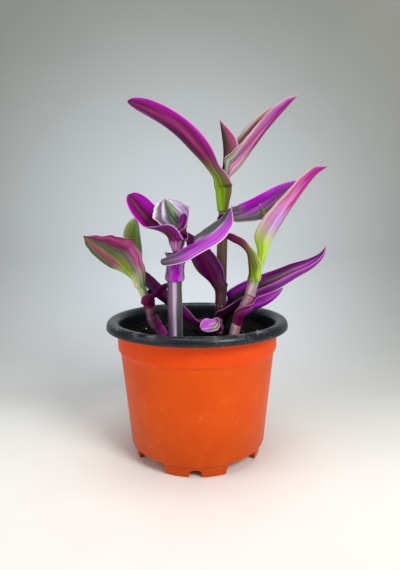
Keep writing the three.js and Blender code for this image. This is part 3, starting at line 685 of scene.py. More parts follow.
LEAVES = {
    "tall_leaf_1": leaf("tall", 81.5, 340, 4, [(27, 8, 93), (36, 8, 99), (46, 7, 104.5), (57, 5, 110.5),
        (67, 4, 117), (78, 3, 124), (84, 2, 131), (85.5, 1, 138)], half(17, 60, (30, 20, 15)),
        half(11, 20, (40, 25, 15)), widest=0.15, blunt=0.8, base=0.8, opening=0.18),
    "tall_leaf_2": leaf("tall", 98, 228, 7, [(10, 4, 115), (5, 0, 125), (0, -4, 135), (-6, -8, 148)],
        half(11, (10, 15, 10), (50, 30, 20)), roll=(0, 25, 20), widest=0.35, blunt=0.8),
    "tall_leaf_3": leaf("tall", 147, 350, 7, [(29, 8, 157), (40, 7, 160.8), (48, 7, 165.8), (57, 9, 172.5),
        (70, 13, 181.5)], half(10.5, 10, (40, 20, 10)), half(12, 10, (40, 20, 10)), roll=(20, 45, 50),
        unroll=3, widest=0.22, blunt=0.7, base=0.9, opening=0.18),
    "tall_leaf_4": leaf("tall", 161, 195, 14, [(12, 9, 182.5), (7, 6, 190), (-1, 2, 199), (-9, -1, 207.5),
        (-19, -4, 215.5), (-29, -6, 222), (-42, -8, 228.5)], half(12, (15, 15, 10), (60, 40, 30)),
        half(12, (20, 20, 10), (60, 40, 30)), roll=(10, 30, 35), flare=2.2, widest=0.4, blunt=0.5,
        opening=0.2),
    "tall_leaf_5": leaf("tall", 177.5, 0, 4, [(24.5, 12, 186), (29.5, 12, 191), (37, 11, 201),
        (46, 10, 213), (55, 8, 223.5), (66, 6, 235.5)], half(14, (30, 65, 60), (50, 30, 15)),
        half(13, (55, 45, 40), (40, 30, 15), outline=(0.7, 1, 0.9, 0.78, 0.72, 0.7, 0.68, 0.5, 0.03)),
        unroll=3, widest=0.35, blunt=0.9, opening=0.14),
    "tall_leaf_6": leaf("tall", 182.5, 180, 1.5, [(18, 10.6, 192), (18, 9.8, 203), (17, 9.8, 212),
        (16, 9.8, 221)], half(10.5, (80, 84, 84), (8, 6, 4)), widest=0.55, blunt=1.4, base=0.2,
        opening=0.15),
    "front_leaf_1": leaf("front", 0, 0, 0, [(-21, -29, 132), (-17, -33, 134), (-12, -35, 136.5),
        (-6, -36, 140), (1, -36, 143), (8, -34, 146), (13, -31, 149.5), (18, -28, 155), (21.5, -26, 164)],
        half(11, (-30, -20, 50, 60, 40), (0, 0, 20, 10),
             outline=(0.05, 0.15, 0.5, 0.95, 1, 0.9, 0.75, 0.5, 0.05)),
        half(13, (-75, -70, -60, -50, -20), 0, widest=0.35, base=0.42, round=0.12), face=(0, 0.3, 1),
        widest=0.45, blunt=0.6),
    "front_leaf_2": leaf("front", 135.3, 145, 6, [(-20.5, -18.5, 149), (-26.5, -15, 153.5),
        (-32, -13.5, 159), (-37.2, -12.5, 165.5), (-42, -11.5, 172)],
        half(11, (15, 15, 10), (60, 50, 40), base=0.7),
        half(9.5, (15, 15, 10), (60, 50, 40), widest=0.6, base=0.4), roll=(0, -50, -50), flare=3, unroll=8,
        widest=0.4, blunt=0.5, base=0.8, opening=0.3),
    "front_leaf_3": leaf("front", 145.4, 80, 2.5, [(-12.8, -21, 154.5), (-15.4, -19, 159.5),
        (-17.6, -17.5, 164), (-19.2, -16, 168.8)],
        half(16.5, (15, 20, 15), (30, 60, 40), outline=(0.14, 0.12, 0.27, 0.78, 1, 0.9, 0.7, 0.45, 0.1)),
        half(15, (15, 15, 10), (50, 40, 30), outline=(0.23, 0.56, 0.93, 1, 0.88, 0.72, 0.58, 0.35, 0.05)),
        roll=(0, -5, 0), widest=0.55, blunt=0.45, opening=0.2),
    "front_leaf_4": leaf("front", 149.4, 270, 0.8, [(-8, -28.4, 154), (-6.8, -29.6, 159.5)],
        half(3.5, 20, (90, 70, 40)), widest=0.4, blunt=0.6),
    "right_leaf_1": leaf("right", 88, 350, 5, [(37, -6.5, 97), (42, -7, 98.8), (48, -8, 102.5),
        (53, -8, 107), (56, -8, 112)], half(9, (40, 50, 40), (60, 40, 20)),
        half(9, (30, 40, 40), (60, 40, 20)), flare=0.3, widest=0.35, blunt=0.7),
    "right_leaf_2": leaf("right", 107.5, 205, 9, [(33, -15, 127), (31.5, -17, 135), (27.5, -18, 139.5),
        (22, -18.5, 142.5), (16.5, -17, 146), (13, -16, 149.5)],
        half(8.5, (40, 50, 40), (60, 40, 30), outline=(0.7, 0.95, 1, 0.75, 0.5, 0.6, 0.6, 0.4, 0.03)),
        half(8, (40, 50, 40), (60, 40, 30), outline=(0.7, 0.8, 0.9, 0.8, 0.8, 0.9, 0.8, 0.5, 0.03)),
        widest=0.2, blunt=0.7, opening=0.15),
    "right_leaf_3": leaf("right", 118.5, 340, 5, [(44.5, -11.5, 133), (47.5, -13, 141.5), (51.5, -14, 150),
        (56, -15, 158), (61.5, -14, 166), (67, -12, 173.5), (76, -8, 184), (83, -6, 189)],
        half(13, (55, 60, 40), (40, 25, 20), outline=(0.3, 0.5, 0.8, 0.9, 0.95, 0.85, 0.8, 0.5, 0.03)),
        half(13, (55, 66, 40), (40, 20, 20), outline=(0.25, 0.6, 1, 0.95, 0.8, 0.62, 0.6, 0.45, 0.03)),
        widest=0.3, blunt=1.1),
    "right_leaf_4": leaf("right", 128.5, 170, 1, [(41.4, -10.8, 138), (41.7, -11, 146), (41.6, -11, 155),
        (40, -10.6, 165.5)], half(4.5, (80, 84, 84), (8, 6, 4)), widest=0.6, blunt=1, base=0.2,
        opening=0.15),
    "left_leaf_1": leaf("left", 100.4, 345, 3, [(-26, -11, 107), (-20, -9, 111.5), (-15, -5, 115.5)],
        half(5, (40, 50, 50), (50, 40, 30), base=0.3), half(5.5, (40, 50, 50), (50, 40, 30), base=0.5),
        lift=0.8, unroll=3, widest=0.4, blunt=0.7),
    "left_leaf_2": leaf("left", 105, 200, 8, [(-40.5, -14, 118), (-46, -17, 124.5), (-53, -20, 131),
        (-60, -22.5, 138), (-68, -25, 146.5)],
        half(20, (15, 15, 10), (50, 40, 20), outline=(0.19, 0.4, 0.65, 0.84, 1, 0.8, 0.65, 0.34, 0.03)),
        half(9, (15, 15, 10), (50, 40, 20), outline=(0.5, 0.45, 0.45, 0.6, 0.9, 1, 0.95, 0.7, 0.05)),
        roll=(0, 60, 50), unroll=3, widest=0.45, blunt=0.5, opening=0.15),
    "left_leaf_3": leaf("left", 115, 80, 3, [(-38, -5, 128), (-39, -3, 138), (-40, -1, 147),
        (-39.5, 0, 157.5)], half(8.5, 20, (50, 40, 30), widest=0.65), half(6.5, 20, (50, 40, 30)),
        widest=0.5, blunt=0.6),
    "low_leaf": leaf("sprout", 82, 170, 1.6, [(6, 0, 84.5), (-1.5, -2, 86.5), (-10, -2, 93.5),
        (-19, 1, 102), (-26.5, 3, 109), (-33, 4, 117), (-39, 3, 124)], half(5.5, 20, (40, 30, 20)),
        half(10, (20, 30, 20), (40, 30, 20), base=0.7), roll=(0, 60, 80), lift=1, widest=0.45, blunt=0.6),
    "sprout_leaf": leaf("sprout", 87, 215, 1.2, [(11, -6, 87.4), (7.5, -8.8, 86.8), (2.5, -11, 85.5)],
        half(6.5, (10, 0, 0), (60, 20, 20)), roll=(0, -20, -20), lift=0.6, unroll=3, widest=0.5,
        blunt=0.45, opening=0.2),
}

# %% Make the leaves
THICKNESS = 0.55


def leaf_piece(name, shape):
    """One leaf, with its upper face in its first material slot, its under face in its second."""
    later = [leaf for leaf in LEAVES.values()
             if leaf["on"] == shape["on"] and leaf["sheath"] and leaf["node"] > shape["node"]]
    piece = laid_grid(f"{name}_blade", leaf_rows(shape, later))
    for _ in range(3):
        piece.data.materials.append(None)
    finished(piece, "SOLIDIFY", thickness=THICKNESS * MM, offset=0, use_rim=True, use_even_offset=False,
             material_offset=1, material_offset_rim=2)
    finished(piece, "SUBSURF", levels=1, render_levels=1)
    only(piece)
    bpy.ops.object.shade_smooth()
    return piece


leaf_pieces = {name: leaf_piece(name, shape) for name, shape in LEAVES.items()}
print("leaves:", len(leaf_pieces), "with", sum(len(p.data.polygons) for p in leaf_pieces.values()), "faces")

# %% [markdown]
# The lowest leaf of the front shoot clasps its stem from outside: its blade is grown together with a cuff
# that is narrow at the node and opens to a funnel. The cuff is a tube like the stems, with a wall.

# %% The cuff of the front shoot
CUFF = [(119.3, 4.9), (120.2, 5.3), (121.5, 5.5), (125, 5), (130.5, 4.8), (133, 5.9), (135, 7.4)]
CUFF_STEPS = 30
CUFF_SIDES = 36
cuff_heights = [mix(CUFF[0][0], CUFF[-1][0], k / CUFF_STEPS) for k in range(CUFF_STEPS + 1)]
cuff_rings = [ring(stem_paths["front"], z, at_height(CUFF, z), CUFF_SIDES) for z in cuff_heights]
cuff = laid_grid("front_leaf_1_cuff", cuff_rings)
clean_mesh(cuff, fill=False)
finished(cuff, "SOLIDIFY", thickness=THICKNESS * MM, offset=-1, use_rim=True)
smooth_shaded(cuff, 50)
hand_over(cuff, "magenta_leaf", "front_leaf_1")

# %% [markdown]
# ## Finishes
#
# Colours are given as ordinary screen colours, so one helper turns them into the linear values that a shader
# wants, and a few more helpers add nodes and join them.

# %% Colour and node helpers
def colour(code):
    """Linear red, green, blue and alpha from a screen colour such as #e8571a."""
    parts = [int(code[i:i + 2], 16) / 255 for i in (1, 3, 5)]
    return (*[p / 12.92 if p <= 0.04045 else ((p + 0.055) / 1.055) ** 2.4 for p in parts], 1.0)


def wire(tree, target, sockets):
    """Joins each input socket of a node to another node's output, or sets its value."""
    for key, value in sockets.items():
        if isinstance(value, bpy.types.NodeSocket):
            tree.links.new(value, target.inputs[key])
        else:
            target.inputs[key].default_value = value


def node(tree, kind, sockets=None, **values):
    """A node of that kind, with its properties set and its input sockets wired."""
    new = tree.nodes.new(kind)
    for key, value in values.items():
        setattr(new, key, value)
    wire(tree, new, sockets or {})
    return new


def ramp(tree, factor, stops):
    """A colour ramp with (position, colour) stops."""
    new = node(tree, "ShaderNodeValToRGB", {"Fac": factor})
    elements = new.color_ramp.elements
    while len(elements) < len(stops):
        elements.new(0.5)
    for element, (position, code) in zip(elements, stops):
        element.position = position
        element.color = colour(code)
    return new.outputs["Color"]


def spread(tree, value, low, high, to_low=0.0, to_high=1.0):
    """The value mapped smoothly from one range to another."""
    sockets = {"Value": value, "From Min": low, "From Max": high, "To Min": to_low, "To Max": to_high}
    new = node(tree, "ShaderNodeMapRange", sockets, interpolation_type="SMOOTHSTEP")
    return new.outputs["Result"]


def maths(tree, operation, a, b=0.0):
    return node(tree, "ShaderNodeMath", {0: a, 1: b}, operation=operation).outputs[0]


def blended(tree, share, a, b, blend_type="MIX"):
    """One colour mixed into another."""
    sockets = {0: share, 6: a, 7: b}
    return node(tree, "ShaderNodeMix", sockets, data_type="RGBA", blend_type=blend_type).outputs[2]


def clouds(tree, spot, scale, detail, roughness=0.5):
    """Noise from 0 to 1."""
    sockets = {"Vector": spot, "Scale": scale, "Detail": detail, "Roughness": roughness}
    return node(tree, "ShaderNodeTexNoise", sockets).outputs["Fac"]


def relief(tree, height, strength, depth):
    """A normal bent by a fine height, whose depth is in metres."""
    sockets = {"Strength": strength, "Distance": depth, "Height": height}
    return node(tree, "ShaderNodeBump", sockets).outputs["Normal"]


def new_material(name):
    material = bpy.data.materials.new(name)
    material.use_nodes = True
    shader = material.node_tree.nodes["Principled BSDF"]
    return material, material.node_tree, shader


def new_group(name, inputs, outputs):
    """An empty node group whose sockets are given as name: kind, with its input and output nodes."""
    group = bpy.data.node_groups.new(name, "ShaderNodeTree")
    for in_out, sockets in (("INPUT", inputs), ("OUTPUT", outputs)):
        for socket, kind in sockets.items():
            group.interface.new_socket(name=socket, in_out=in_out, socket_type=f"NodeSocket{kind}")
    return group, group.nodes.new("NodeGroupInput"), group.nodes.new("NodeGroupOutput")


# %% [markdown]
# ### One pattern for every leaf
#
# The stripes of this plant run from the sheath to the tip and follow the leaf's outline. The leaf's own UV
# map already runs that way: its first number goes across from margin to margin, and its second goes from the
# node to the tip. Real stripes are made of fine streaks, so the pattern shifts the way across a little with
# noise that is stretched along the leaf. It is used in every leaf, so it is a node group.

# %% Node group: leaf streaks
def leaf_streaks():
    inputs = {"Map": "Vector", "Seed": "Float", "Fray": "Float", "Wander": "Float"}
    outputs = dict.fromkeys(("Across", "Along", "Streak", "Fine", "Edge", "Height"), "Float")
    group, given, made = new_group("leaf_streaks", inputs, outputs)
    parts = node(group, "ShaderNodeSeparateXYZ", {"Vector": given.outputs["Map"]})
    across, length = parts.outputs["X"], parts.outputs["Y"]

    def stretched(times_across, times_along):
        """Noise on the leaf's own map, drawn out along it."""
        spot = node(group, "ShaderNodeCombineXYZ", {
            "X": maths(group, "MULTIPLY", across, times_across),
            "Y": maths(group, "MULTIPLY", length, times_along), "Z": given.outputs["Seed"]})
        return clouds(group, spot.outputs[0], 1.0, 3.0, 0.55)

    def sway(noise_value, amount):
        """Noise round zero, times an amount."""
        return maths(group, "MULTIPLY", maths(group, "SUBTRACT", noise_value, 0.5), amount)

    streak, fine, wander = stretched(22, 2.2), stretched(46, 2.4), stretched(2.2, 2.6)
    shift = maths(group, "ADD", sway(streak, given.outputs["Fray"]), sway(wander, given.outputs["Wander"]))
    off_middle = maths(group, "ABSOLUTE", maths(group, "SUBTRACT", across, 0.5))
    from_middle = maths(group, "MULTIPLY", off_middle, 2.0)
    groove = spread(group, from_middle, 0.0, 0.07)
    height = maths(group, "ADD", maths(group, "MULTIPLY", fine, 0.5), maths(group, "MULTIPLY", groove, 0.6))
    wire(group, made, {"Across": maths(group, "ADD", across, shift), "Along": length, "Streak": streak,
                       "Fine": fine, "Edge": from_middle, "Height": height})
    return group


streaks = leaf_streaks()

# %% [markdown]
# ### A small paint box
#
# The plant gets along with few colours, so they are mixed once and have names. A word of stripes such as
# "plum pink*2" then lays them at even distances across a leaf, from its left margin to its right.

# %% Paints and stripes
PAINTS = {
    "ink": "#261a20", "umber": "#4c3034", "brown": "#6c4c48", "mauve": "#84647a", "blush": "#d8b4b8",
    "wine": "#641c44", "plum": "#5c1450", "purple": "#701c70", "violet": "#8c2c98", "magenta": "#a01890",
    "fuchsia": "#b414c0", "orchid": "#c45cd0", "lilac": "#c898d4", "pale": "#f4e2fa", "rose": "#a84478",
    "pink": "#d68cbc", "olive": "#6c6838", "moss": "#485640", "green": "#7ca01c", "lime": "#a8c84c",
    "cream": "#dce4a8", "slate": "#4c4a54", "grey": "#8c8890", "sage": "#90a884", "salmon": "#cc8890",
}


def stripes(words):
    """Evenly spaced colour stops from paint names; a name with *2 counts twice."""
    names = []
    for word in words.split():
        name, _, times = word.partition("*")
        names += [name] * int(times or 1)
    return [(k / (len(names) - 1), PAINTS[name]) for k, name in enumerate(names)]


# %% [markdown]
# A leaf's face is told in a few rows: its base, its blade and its tip. Each row says how far along the leaf
# it lies and which stripes cross it there. The colours pass smoothly from one row to the next, sooner on one
# streak than on its neighbour. A pale line can then be laid along both margins.

# %% A finish for one face of a leaf
def streaked(tree, seed, fray=0.1):
    """The leaf pattern on the piece's own map."""
    uv = node(tree, "ShaderNodeTexCoord").outputs["UV"]
    sockets = {"Map": uv, "Seed": seed, "Fray": fray, "Wander": 0.05}
    return node(tree, "ShaderNodeGroup", sockets, node_tree=streaks).outputs


def ragged(tree, pattern, amount):
    """The way along the piece, reached sooner on one streak than on the next."""
    shift = maths(tree, "MULTIPLY", maths(tree, "SUBTRACT", pattern["Streak"], 0.5), amount)
    return maths(tree, "ADD", pattern["Along"], shift)


def toned(tree, shade, pattern, reach, dark, light):
    """The colour made darker and lighter by the finest streaks, which lie within reach of 0.5."""
    tone = spread(tree, pattern["Fine"], 0.5 - reach, 0.5 + reach, dark, light)
    grey = node(tree, "ShaderNodeCombineColor", {"Red": tone, "Green": tone, "Blue": tone}).outputs[0]
    return blended(tree, 1.0, shade, grey, "MULTIPLY")


def face(*rows, **more):
    """Each row is a place along the leaf and its stripes; margin is a paint and where it starts."""
    return {"rows": rows, **more}


def leaf_finish(name, rows, margin=None, fray=0.1, roughness=0.4, seed=0.0, darker=0.56):
    material, tree, shader = new_material(name)
    pattern = streaked(tree, seed, fray)
    length = ragged(tree, pattern, 0.2)
    before = shade = None
    for row in rows:
        place_along, _, words = row.partition(" ")
        place_along = float(place_along)
        bands = ramp(tree, pattern["Across"], stripes(words))
        shade = blended(tree, spread(tree, length, before, place_along), shade, bands) if shade else bands
        before = place_along
    shade = toned(tree, shade, pattern, 0.12, darker, 1.4)
    shade = node(tree, "ShaderNodeHueSaturation", {"Saturation": 1.06, "Color": shade}).outputs["Color"]
    if margin:
        paint, start = margin.split()
        line = spread(tree, pattern["Edge"], float(start), float(start) + 0.03)
        shade = blended(tree, line, shade, colour(PAINTS[paint]))
    wire(tree, shader, {
        "Base Color": shade, "Specular IOR Level": 0.18,
        "Roughness": spread(tree, pattern["Streak"], 0.2, 0.8, roughness - 0.08, roughness + 0.1),
        "Normal": relief(tree, pattern["Height"], 0.55, 0.0004)})
    return material


# %% [markdown]
# ### The leaves, one by one
#
# No two leaves of the plant are alike, so each has its own stripes, which follow the broad bands that the
# photograph shows. The faces that it doesn't show are taken from the plant's habit: the upper face is striped
# in dark green and pink, and the under face is mostly purple.

# %% Colours of the leaves
PURPLE_FACE = face("0 purple violet plum violet purple")
BROWN_FACE = face("0 blush brown*4 mauve brown blush")

# each leaf's material slot, its upper face and its under face
LEAF_LOOKS = {
    "tall_leaf_1": ("magenta_leaf", face("0.3 violet*2 ink*8 plum", "0.62 purple plum mauve plum*8",
        "0.85 purple*2 orchid purple*8", margin="lilac 0.95"), face("0.14 plum ink*3 umber plum",
        "0.42 violet purple*2 violet*2 orchid", margin="lilac 0.95")),
    "tall_leaf_2": ("dark_purple_leaf", PURPLE_FACE, face("0.18 brown mauve brown wine mauve brown",
        "0.42 purple plum purple plum wine plum purple plum wine plum*2", margin="lilac 0.94")),
    "tall_leaf_3": ("magenta_leaf", face("0.16 lilac mauve grey slate grey moss*2 olive sage",
        "0.42 orchid fuchsia violet purple orchid slate mauve moss slate moss*2",
        "0.8 fuchsia*2 violet purple violet mauve slate plum*2", margin="pale 0.96"), PURPLE_FACE),
    "tall_leaf_4": ("magenta_leaf", face("0 magenta olive orchid"),
        face("0.18 mauve olive*2 green lime green olive*4 mauve",
        "0.42 rose magenta wine rose wine brown wine*2 magenta*2 rose",
        "0.62 orchid magenta wine rose plum wine plum purple magenta*3",
        "0.9 orchid magenta*2 plum rose wine purple magenta*4", margin="pink 0.95")),
    "tall_leaf_5": ("pink_leaf", BROWN_FACE, face("0.18 olive*6 blush pink mauve sage olive",
        "0.48 mauve*4 plum*2 rose pink rose pink blush",
        "0.8 magenta rose plum*3 wine rose magenta orchid pink*2", margin="blush 0.94")),
    "tall_leaf_6": ("striped_leaf", BROWN_FACE, face("0.3 mauve*2 brown*2 umber ink brown*3 mauve*2",
        "0.75 blush rose*2 brown umber*2 brown rose mauve*2 blush", margin="blush 0.93")),
    "front_leaf_1": ("magenta_leaf", face("0.12 mauve slate mauve*2 slate mauve slate mauve slate mauve",
        "0.36 moss slate mauve lilac slate orchid fuchsia slate orchid*2 mauve",
        "0.68 mauve moss slate moss lilac slate orchid*4 lilac", margin="pale 0.94"), PURPLE_FACE),
    "front_leaf_2": ("magenta_leaf", face("0.3 magenta plum wine plum magenta",
        "0.65 fuchsia magenta*2 plum wine*2 plum magenta fuchsia*2 magenta", margin="lilac 0.95"),
        face("0.04 mauve pink*2 mauve plum*2 wine", "0.16 purple wine*2 plum wine*2 purple",
        "0.4 violet purple plum*2 wine plum magenta", margin="lilac 0.95")),
    "front_leaf_3": ("pink_leaf", face("0.46 lilac mauve slate grey slate moss*2 lilac pale lilac*2",
        "0.68 pale*2 grey slate pale slate moss sage*2 pale*3 lilac", margin="pale 0.96"),
        face("0.15 mauve rose wine*2 plum", "0.5 lilac orchid lilac")),
    "front_leaf_4": ("magenta_leaf", PURPLE_FACE, face("0.1 mauve wine mauve wine",
        "0.4 orchid plum*2 violet plum orchid")),
    "right_leaf_1": ("magenta_leaf", face("0 violet plum*2 violet"), face("0.12 rose wine*3 rose",
        "0.4 violet plum*3 violet*2 orchid violet*2", margin="pink 0.95")),
    "right_leaf_2": ("striped_leaf", face("0 olive*2 moss*2 blush"), face("0.1 grey*2 blush*3 cream*2",
        "0.25 lime*2 green olive lime*2 sage", "0.48 lime olive*2 brown*2 olive", "0.72 wine*3 umber brown",
        margin="blush 0.94")),
    "right_leaf_3": ("pink_leaf", face("0 cream olive*7 cream"), face("0.24 lime*2 cream*2 lime*2 green",
        "0.46 grey*4 mauve lilac*2 pink blush", "0.62 mauve rose*2 mauve rose*2 pink rose blush",
        "0.84 rose*2 magenta*2 rose magenta rose pink", margin="cream 0.96", darker=0.7)),
    "right_leaf_4": ("green_leaf", face("0 olive*3"), face("0 olive*2 moss olive*2")),
    "left_leaf_1": ("dark_purple_leaf", face("0 plum wine plum"), face("0.15 purple wine*2 rose",
        "0.5 plum wine*3 plum purple")),
    "left_leaf_2": ("striped_leaf", face("0 rose mauve rose"), face("0.24 olive sage cream*3 lime*2",
        "0.4 mauve rose mauve olive green sage cream lime*3",
        "0.6 wine rose wine moss olive rose olive*2 moss*3", darker=0.72)),
    "left_leaf_3": ("green_leaf", face("0.6 cream*2 lime sage green*2 sage grey*2 mauve",
        margin="cream 0.95"), face("0 rose sage green blush")),
    "low_leaf": ("dark_purple_leaf", face("0 plum wine plum"), face("0.3 mauve plum*8 wine",
        "0.7 mauve plum*2 purple plum*4 wine")),
    "sprout_leaf": ("pink_leaf", face("0.3 blush moss cream moss blush lilac orchid*2 lilac",
        "0.7 lilac mauve lilac orchid*3 lilac", margin="lilac 0.94", darker=0.72),
        face("0 mauve purple*2")),
}

# %% Give every leaf its finish
RIM_PAINTS = {"magenta_leaf": "pink", "pink_leaf": "blush", "dark_purple_leaf": "violet",
              "striped_leaf": "salmon", "green_leaf": "sage"}

for seed, (name, (slot, upper, under)) in enumerate(LEAF_LOOKS.items()):
    piece = leaf_pieces[name]
    piece.data.materials[0] = leaf_finish(f"{name}_upper", seed=seed * 3.7, **upper)
    piece.data.materials[1] = leaf_finish(f"{name}_under", seed=seed * 3.7 + 50, **under)
    piece.data.materials[2] = leaf_finish(f"{name}_rim", seed=seed, **face(f"0 {RIM_PAINTS[slot]}*2"))
    hand_over(piece, slot, name)
# the bright orchid, fuchsia and lilac band near the front of the cuff is partly the leaf's colour and partly
# a painted highlight
CUFF_FACE = face("0 purple*2 violet*4 mauve orchid fuchsia lilac purple")
cuff.data.materials.append(leaf_finish("cuff", fray=0.05, roughness=0.3, **CUFF_FACE))
print("leaf finishes:", 3 * len(LEAF_LOOKS) + 1)

# %% [markdown]
# ### Stems
#
# A stem is glossy and faintly striped along its length. Its colour changes from joint to joint, so one ramp
# runs round the stem and a second one along it. On the front, right and left stems the ramp round the stem
# also holds a pale stripe near the front, which is a painted highlight.

# %% Stem finishes
def stem_finish(name, round_words, along_words, share, seed):
    material, tree, shader = new_material(name)
    pattern = streaked(tree, seed)
    lengthways = ramp(tree, ragged(tree, pattern, 0.03), stripes(along_words))
    shade = blended(tree, share, lengthways, ramp(tree, pattern["Across"], stripes(round_words)))
    wire(tree, shader, {
        "Base Color": toned(tree, shade, pattern, 0.14, 0.72, 1.1), "Specular IOR Level": 0.5,
        "Roughness": spread(tree, pattern["Streak"], 0.2, 0.8, 0.22, 0.38),
        "Normal": relief(tree, pattern["Fine"], 0.25, 0.0003)})
    return material


# the pale stripes round the front, right and left stems (lilac and pale, blush and pale, pink and blush) are
# painted highlights
STEM_LOOKS = {
    "tall": ("umber brown*3 umber", "brown umber*2 brown*2 brown olive*2 lime*2", 0.4),
    "front": ("slate*11 moss slate mauve*2 lilac pale slate moss slate grey slate",
              "slate*2 mauve*2 pink", 0.9),
    "right": ("salmon*6 blush pale salmon rose salmon", "pink salmon*4 rose salmon blush cream olive", 0.4),
    "left": ("rose*6 pink blush rose magenta rose", "magenta*4 wine salmon*2 blush cream", 0.4),
    "sprout": ("brown*2", "brown olive", 0.4),
}
for seed, (name, looks) in enumerate(STEM_LOOKS.items()):
    stem_pieces[name].data.materials.append(stem_finish(f"{name}_stem", *looks, seed=seed * 5.3))

# %% [markdown]
# ### Pot and soil
#
# The pot is thin moulded plastic. Its orange side is even and satin, a little redder on the collar, and it
# has fine scratches; towards the foot it is darkened with painted shade. The black side is scuffed along the
# crown of the rim, where pots rub against each other, and the pale grey of those scuffs on the crown also
# serves as painted glints of the lamps. Scratches and scuffs are the same thing at two sizes, so they share a
# group.

# %% Node group: scuffs
def scuff_group():
    group, given, made = new_group("scuffs", {"Spot": "Vector", "Size": "Float", "Amount": "Float"},
                                   {"Mask": "Float", "Height": "Float"})
    spot, size = given.outputs["Spot"], given.outputs["Size"]
    patches = clouds(group, spot, size, 6.0, 0.65)
    grains = clouds(group, spot, maths(group, "MULTIPLY", size, 7.0), 4.0, 0.6)
    both = maths(group, "MULTIPLY", spread(group, patches, 0.48, 0.7), spread(group, grains, 0.42, 0.62))
    wire(group, made, {"Mask": maths(group, "MULTIPLY", both, given.outputs["Amount"]), "Height": grains})
    return group


scuffs = scuff_group()


def scuffed(tree, size, amount):
    """The outputs of the scuff group on Object coordinates, those coordinates, and the height among them."""
    spot = node(tree, "ShaderNodeTexCoord").outputs["Object"]
    wear = node(tree, "ShaderNodeGroup", {"Spot": spot, "Size": size, "Amount": amount}, node_tree=scuffs)
    height = node(tree, "ShaderNodeSeparateXYZ", {"Vector": spot}).outputs["Z"]
    return wear.outputs, spot, height


# %% Plastics
def orange_plastic():
    material, tree, shader = new_material("pot_orange")
    wear, spot, height = scuffed(tree, 90.0, 0.35)
    uneven = spread(tree, clouds(tree, spot, 22.0, 2.0), 0.3, 0.7)
    shade = blended(tree, uneven, colour("#dc4c00"), colour("#e45402"))
    collar = spread(tree, height, 0.068, 0.074)
    shade = blended(tree, collar, shade, colour("#ea4a00"))
    # painted shade: the orange is darkened towards the foot
    foot = spread(tree, height, 0.0, 0.055, 0.6, 0.0)
    shade = blended(tree, foot, shade, colour("#b44400"))
    wire(tree, shader, {
        "Base Color": blended(tree, wear["Mask"], shade, colour("#f4803c")), "Specular IOR Level": 0.15,
        "Roughness": spread(tree, wear["Mask"], 0.0, 0.4, 0.4, 0.6),
        "Normal": relief(tree, wear["Height"], 0.12, 0.0003)})
    return material


def black_plastic():
    material, tree, shader = new_material("pot_black")
    wear, _, height = scuffed(tree, 130.0, 1.0)
    # the pale grey on the crown of the rim is scuffing and also painted glints of the lamps
    crown = spread(tree, height, 0.0895, 0.0912, 0.15, 1.0)
    scuffs_and_glints = maths(tree, "MULTIPLY", wear["Mask"], crown)
    wire(tree, shader, {
        "Base Color": blended(tree, scuffs_and_glints, colour("#12171e"), colour("#9aa0a6")), "Specular IOR Level": 0.4,
        "Roughness": spread(tree, scuffs_and_glints, 0.0, 0.6, 0.32, 0.7),
        "Normal": relief(tree, wear["Height"], 0.2, 0.0003)})
    return material


outer_skin.data.materials.append(orange_plastic())
inner_skin.data.materials.append(black_plastic())
hand_over(outer_skin, "pot_orange", "pot_outer_skin")
hand_over(inner_skin, "pot_black", "pot_inner_skin_and_rim")

# %% Soil
def earth(name, dark, light, scale):
    material, tree, shader = new_material(name)
    grains = clouds(tree, node(tree, "ShaderNodeTexCoord").outputs["Object"], scale, 6.0, 0.7)
    wire(tree, shader, {
        "Base Color": ramp(tree, grains, [(0.35, dark), (0.62, light)]), "Specular IOR Level": 0.1,
        "Roughness": 0.92, "Normal": relief(tree, grains, 0.7, 0.0006)})
    return material


dark_earth = earth("potting_mix", "#030303", "#15110e", 1400.0)
perlite = earth("perlite", "#a8a49c", "#dedbd2", 900.0)
ground.data.materials.append(dark_earth)
for piece in crumbs:
    piece.data.materials.append(perlite if piece["perlite"] else dark_earth)
only(ground)
for piece in crumbs:
    piece.select_set(True)
bpy.ops.object.join()
smooth_shaded(ground, 50)
ground.name = "soil_with_crumbs"
hand_over(ground, "soil", "soil")
print("soil faces:", len(ground.data.polygons))

# %% [markdown]
# ## Light and backdrop
#
# The photograph was taken on a sheet of pale paper that curves up behind the pot, so no line shows where
# the floor ends. The paper starts as a plane. Its back edge is pulled up to make the wall, and the corner
# between them is then rounded.

# %% The paper sweep
BEND = 0.12  # radius of the curve between floor and wall
WALL_Y = 0.22  # how far behind the pot's middle the wall stands
WALL_HEIGHT = 0.7
BACK = 0.9  # only the back edge of the sheet lies past this, on the sheet's own y

bpy.ops.object.select_all(action="DESELECT")
bpy.ops.mesh.primitive_plane_add(size=2, location=(0, WALL_Y - 1, 0))
paper = bpy.context.object
paper.name = "paper_sweep"
for vertex in paper.data.vertices:
    vertex.select = vertex.co.y > BACK
for edge in paper.data.edges:
    edge.select = all(paper.data.vertices[i].select for i in edge.vertices)
paper.data.polygons[0].select = False
bpy.ops.object.mode_set(mode="EDIT")
bpy.ops.mesh.select_mode(type="EDGE")
bpy.ops.mesh.extrude_region_move(TRANSFORM_OT_translate={"value": (0, 0, WALL_HEIGHT)})
bpy.ops.object.mode_set(mode="OBJECT")
for edge in paper.data.edges:
    ends = [paper.data.vertices[i].co for i in edge.vertices]
    edge.select = all(end.y > BACK and end.z < WALL_HEIGHT / 2 for end in ends)
bpy.ops.object.mode_set(mode="EDIT")
bpy.ops.mesh.bevel(offset=BEND, segments=32, affect="EDGES")
bpy.ops.object.mode_set(mode="OBJECT")
bpy.ops.object.shade_smooth()
print("paper sweep faces:", len(paper.data.polygons))
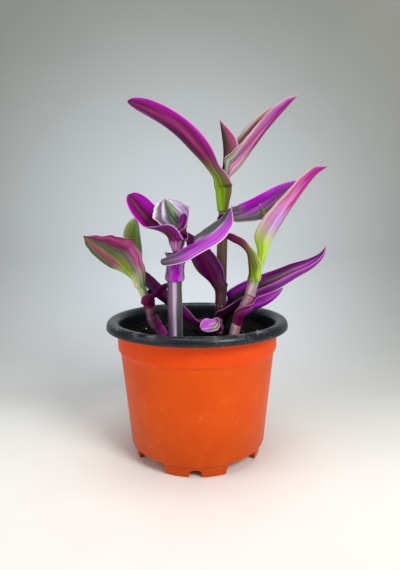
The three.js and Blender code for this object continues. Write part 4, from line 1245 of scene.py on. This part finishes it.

# %% [markdown]
# The sheet is painted brightest behind the plant and fades to a warmer grey at the corners of the picture.
# That
# fade is painted shade on the paper: two colours are mixed by the distance from a spot behind the plant. The
# floor of the sheet is painted a brighter white than its wall; that difference is painted light.

# %% Colour of the paper
def sweep_paper():
    material, tree, shader = new_material("paper_sweep")
    spot = node(tree, "ShaderNodeTexCoord").outputs["Object"]
    depth = node(tree, "ShaderNodeSeparateXYZ", {"Vector": spot}).outputs["Y"]
    sockets = {0: spot, 1: (-0.03, 1.0, 0.1)}
    away = node(tree, "ShaderNodeVectorMath", sockets, operation="DISTANCE").outputs["Value"]
    # painted shade: the wall darkens with the distance from a spot behind the plant
    wall = blended(tree, spread(tree, away, 0.02, 0.34), colour("#d0d8df"), colour("#757873"))
    # painted light: the floor of the sheet is a brighter white than the wall
    shade = blended(tree, spread(tree, depth, 0.7, 1.05), colour("#fbfaf5"), wall)
    cloud = spread(tree, clouds(tree, spot, 9.0, 3.0), 0.3, 0.7, 0.0, 0.08)
    wire(tree, shader, {"Base Color": blended(tree, cloud, shade, colour("#b3b0a8")), "Roughness": 0.9})
    return material


paper.data.materials.append(sweep_paper())

# %% [markdown]
# A big soft lamp stands in for the window, to the right of the camera and above it. A weaker one opens the
# shadows from the left, and a third lights the paper and the leaves from above.

# %% Lamps and sky
def lamp(name, spot, target, size, power, tint):
    light = bpy.data.lights.new(name, "AREA")
    light.shape = "DISK"
    light.size = size
    light.energy = power
    light.color = tint
    holder = bpy.data.objects.new(name, light)
    bpy.context.scene.collection.objects.link(holder)
    holder.location = spot
    holder.rotation_euler = (Vector(target) - Vector(spot)).to_track_quat("-Z", "Y").to_euler()


PLANT_HEART = (0, 0, 0.12)
lamp("window", (0.75, -0.95, 1.0), PLANT_HEART, 0.6, 15, (1.0, 0.99, 0.97))
lamp("room", (-1.1, -0.6, 0.7), PLANT_HEART, 1.1, 4.5, (0.96, 0.98, 1.0))
lamp("above", (0.0, -0.1, 1.3), PLANT_HEART, 0.9, 5.5, (1.0, 1.0, 1.0))
world = bpy.data.worlds.new("room_light")
bpy.context.scene.world = world
world.use_nodes = True
world.node_tree.nodes["Background"].inputs["Color"].default_value = colour("#dfe4e8")
world.node_tree.nodes["Background"].inputs["Strength"].default_value = 0.28
bpy.context.scene.view_settings.view_transform = "Standard"
